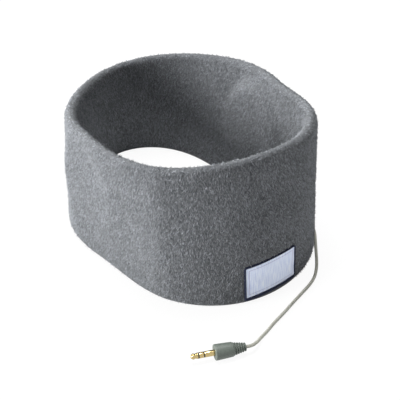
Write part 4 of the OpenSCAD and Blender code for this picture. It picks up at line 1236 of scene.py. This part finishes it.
# %% [markdown]
# The foam discs and the felt ring are soft, so they are made anew. Die-cut foam keeps a sharp outline but
# its faces give a little: each disc is turned from a profile with rounded edges, and the front one, which
# the ear presses on, has a slight crown. Both are pressed flat between cloth and case, and there is no sewn
# cushion in this object, so nothing needs a cloth simulation.

# %% Foam discs and felt rings
CASE_R, CROWN = 19.0, 0.12
# The felt ring's section, a thin rectangle with eased corners: (distance from the case's back, radius)
FELT_SECTION = [(1.24, 7.5), (1.24, 14.1), (1.34, 14.2), (1.52, 14.2),
                (1.6, 14.1), (1.6, 7.5), (1.5, 7.4), (1.34, 7.4)]
FELT_SIDES = 64
# Open-cell polyurethane foam: matt charcoal, with cells of about half a millimetre
foam = grained("open_cell_polyurethane_foam", [(0.4, "2f3132"), (0.62, "4b4e4f")],
               grain=0.5, depth=0.25, rough=1.0, specular=0.1)
# Pressed wool felt: matt and black, with short lying fibres
felt = grained("pressed_wool_felt", [(0.4, "101011"), (0.6, "232324")],
               grain=0.4, depth=0.12, rough=1.0, specular=0.1)


def disc_profile(z, thickness, radius, crown):
    """From the middle of one face over the rounded edge to the middle of the other, which is crowned."""
    edge = 0.3 * thickness
    radii = np.linspace(0.5, radius - edge, 8)
    side = [(edge * (1 - math.cos(t)), radius - edge * (1 - math.sin(t))) for t in np.radians([30, 60, 90])]
    low = [(z, r) for r in radii] + [(z + up, r) for up, r in side]
    high = [(z + thickness - up, r) for up, r in side[::-1]]
    return low + high + [(z + thickness + crown * (1 - (r / radius) ** 2), r) for r in radii[::-1]]


def speaker_axes(side):
    """The back's middle and the three ways of a speaker: towards the head, and two across."""
    inward = -ear_out(side)
    across = unit(np.cross([0, 0, 1.0], inward))
    return ear_middle(side) - CASE_T / 2 * inward, inward, across, np.cross(inward, across)


for side in ("left", "right"):
    back, inward, across, upward = speaker_axes(side)
    for where, z, crown in (("back", -FOAM_T, 0.0), ("front", CASE_T, CROWN)):
        profile = disc_profile(z, FOAM_T, CASE_R, crown)
        disc = turned(f"{side}_foam_{where}_disc", profile, back, inward, across, upward)
        finish_piece(disc, foam)
        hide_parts(f"{side}_foam_{where}")
    points = np.concatenate([back + z * inward + r * spokes(across, upward, FELT_SIDES)
                             for z, r in FELT_SECTION])
    faces = grid_faces(len(FELT_SECTION), FELT_SIDES, True, True)
    damper = mesh_piece(f"{side}_felt_damper", points, faces, closed=True)
    finish_piece(damper, felt)
    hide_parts(f"{side}_felt_ring")
print("disc", len(disc.data.polygons), "faces, felt ring", len(damper.data.polygons))

# %% [markdown]
# Two thin leads run between the layers of cloth from the speakers to the split block. In the real band they
# lie loose in the channel. They repeat the route of the CAD source, as smooth round wires, and are made as
# the cord is.

# %% Leads
# The lead's radius, and how far from the speaker's middle it starts and has cleared the case
LEAD_R, BOARD_OUT, CASE_OUT = 0.6, 17.1, CASE_R + 1.5
SPLIT_TOP = SPLIT_MIDDLE + [0, 0, SPLIT_HALF_H]
# How far apart the leads enter the block, their bend above it and the distance between route points
LEAD_SIDE, LEAD_BEND, LEAD_PITCH = 2.0, 13.0, 8.0
RUN_Z = SPLIT_TOP[2] + LEAD_BEND + 1


def lead_line(side, way, run):
    """Route points from a speaker's board to the split block. run holds (reach, height) between them."""
    towards = (1 if side == "left" else -1) * along(EAR_ANGLES[side], EAR_HEIGHT)
    start = [ear_middle(side) + r * towards for r in (BOARD_OUT, CASE_OUT)]
    turn = [(EXIT_S + way * (LEAD_SIDE + LEAD_BEND * (1 - math.sin(t))),
             RUN_Z - LEAD_BEND * (1 - math.cos(t))) for t in np.radians([0, 18, 36, 54, 72, 90])]
    end = SPLIT_TOP + way * LEAD_SIDE * along(EXIT_ANGLE, SPLIT_Z)
    return start + [in_wall(angle_at(s), z, 0) for s, z in run + turn] + [end + [0, 0, 0.6], end]


run_from, run_to = -EAR_S + EAR_FLAT_R + 6, EXIT_S - LEAD_SIDE - LEAD_BEND
count = math.ceil((run_to - run_from) / LEAD_PITCH)
long_run = [(run_from + (run_to - run_from) * k / count,
             EAR_HEIGHT + (RUN_Z - EAR_HEIGHT) * float(smooth(k / count))) for k in range(count)]
for side, way, run in (("left", -1, long_run), ("right", 1, [])):
    wire = cord_curve(side + "_lead_wire", lead_line(side, way, run), LEAD_R)
    finish_piece(wire, jacket)
    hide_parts(side + "_lead")
print("points of the long lead", len(long_run))

# %% [markdown]
# The photograph is a packshot on pure white. A soft lamp stands low at the left, a second one above the
# band, and the world fills the rest. The lamps stay at a plain level, and the white comes from elsewhere:
# the camera, and whatever mirrors or lets through, sees the world at full white and the floor almost so,
# through Light Path, while the lamps still lay the object's soft shadow on the floor.

# %% Lamps
def area_lamp(name, place, target, size, power):
    """A square soft lamp at place that lights target, in metres and watts."""
    data = bpy.data.lights.new(name, "AREA")
    data.shape, data.size, data.energy = "SQUARE", size, power
    return aim(link(name, data), place, target)


BAND_MIDDLE = (0, 0, 0.04)
lamps = [area_lamp("key_lamp", (-1.26, 0.24, 0.4), BAND_MIDDLE, size=0.5, power=31),
         area_lamp("top_lamp", (0.05, 0.25, 1.4), BAND_MIDDLE, size=0.6, power=27)]
print("lamps", [lamp.name for lamp in lamps])

# %% World and floor
FILL, PAPER_WHITE, FLOOR_HALF, FLOOR_Z = 0.2, 0.93, 3000, -0.2


def directly_seen(tree):
    """1 for the camera's own rays and for mirrored and passed ones, and 0 for light on the object."""
    rays = put(tree, "ShaderNodeLightPath").outputs
    seen = rays["Is Camera Ray"]
    for kind in ("Is Glossy Ray", "Is Transmission Ray"):
        seen = put(tree, "ShaderNodeMath", {0: seen, 1: rays[kind]}, operation="MAXIMUM").outputs[0]
    return seen


world = bpy.data.worlds.new("studio")
bpy.context.scene.world = world
world.use_nodes = True
tree = world.node_tree
tree.nodes.clear()
fill = put(tree, "ShaderNodeBackground", {"Color": tint("ffffff"), "Strength": FILL})
white = put(tree, "ShaderNodeBackground", {"Color": tint("ffffff"), "Strength": 1.0})
both = put(tree, "ShaderNodeMixShader", {0: directly_seen(tree), 1: fill.outputs[0], 2: white.outputs[0]})
put(tree, "ShaderNodeOutputWorld", {"Surface": both.outputs[0]})

# Matt white paper. It lies 0.2 mm under the band, so that no face of the two falls together
paper, tree = new_material("white_paper")
share = put(tree, "ShaderNodeMath", {0: directly_seen(tree), 1: PAPER_WHITE}, operation="MULTIPLY")
lit = put(tree, "ShaderNodeBsdfDiffuse", {"Color": tint("f4f4f4")})
glow = put(tree, "ShaderNodeEmission", {"Color": tint("ffffff"), "Strength": 1.0})
both = put(tree, "ShaderNodeMixShader", {0: share.outputs[0], 1: lit.outputs[0], 2: glow.outputs[0]})
put(tree, "ShaderNodeOutputMaterial", {"Surface": both.outputs[0]})
corners = [(x * FLOOR_HALF, y * FLOOR_HALF, FLOOR_Z) for x, y in ((-1, -1), (1, -1), (1, 1), (-1, 1))]
floor = mesh_piece("floor", corners, [(0, 1, 2, 3)])
floor.data.materials.append(paper)
print("world", world.name, "floor", paper.name)

# %% View transform
bpy.context.scene.view_settings.view_transform = "Standard"
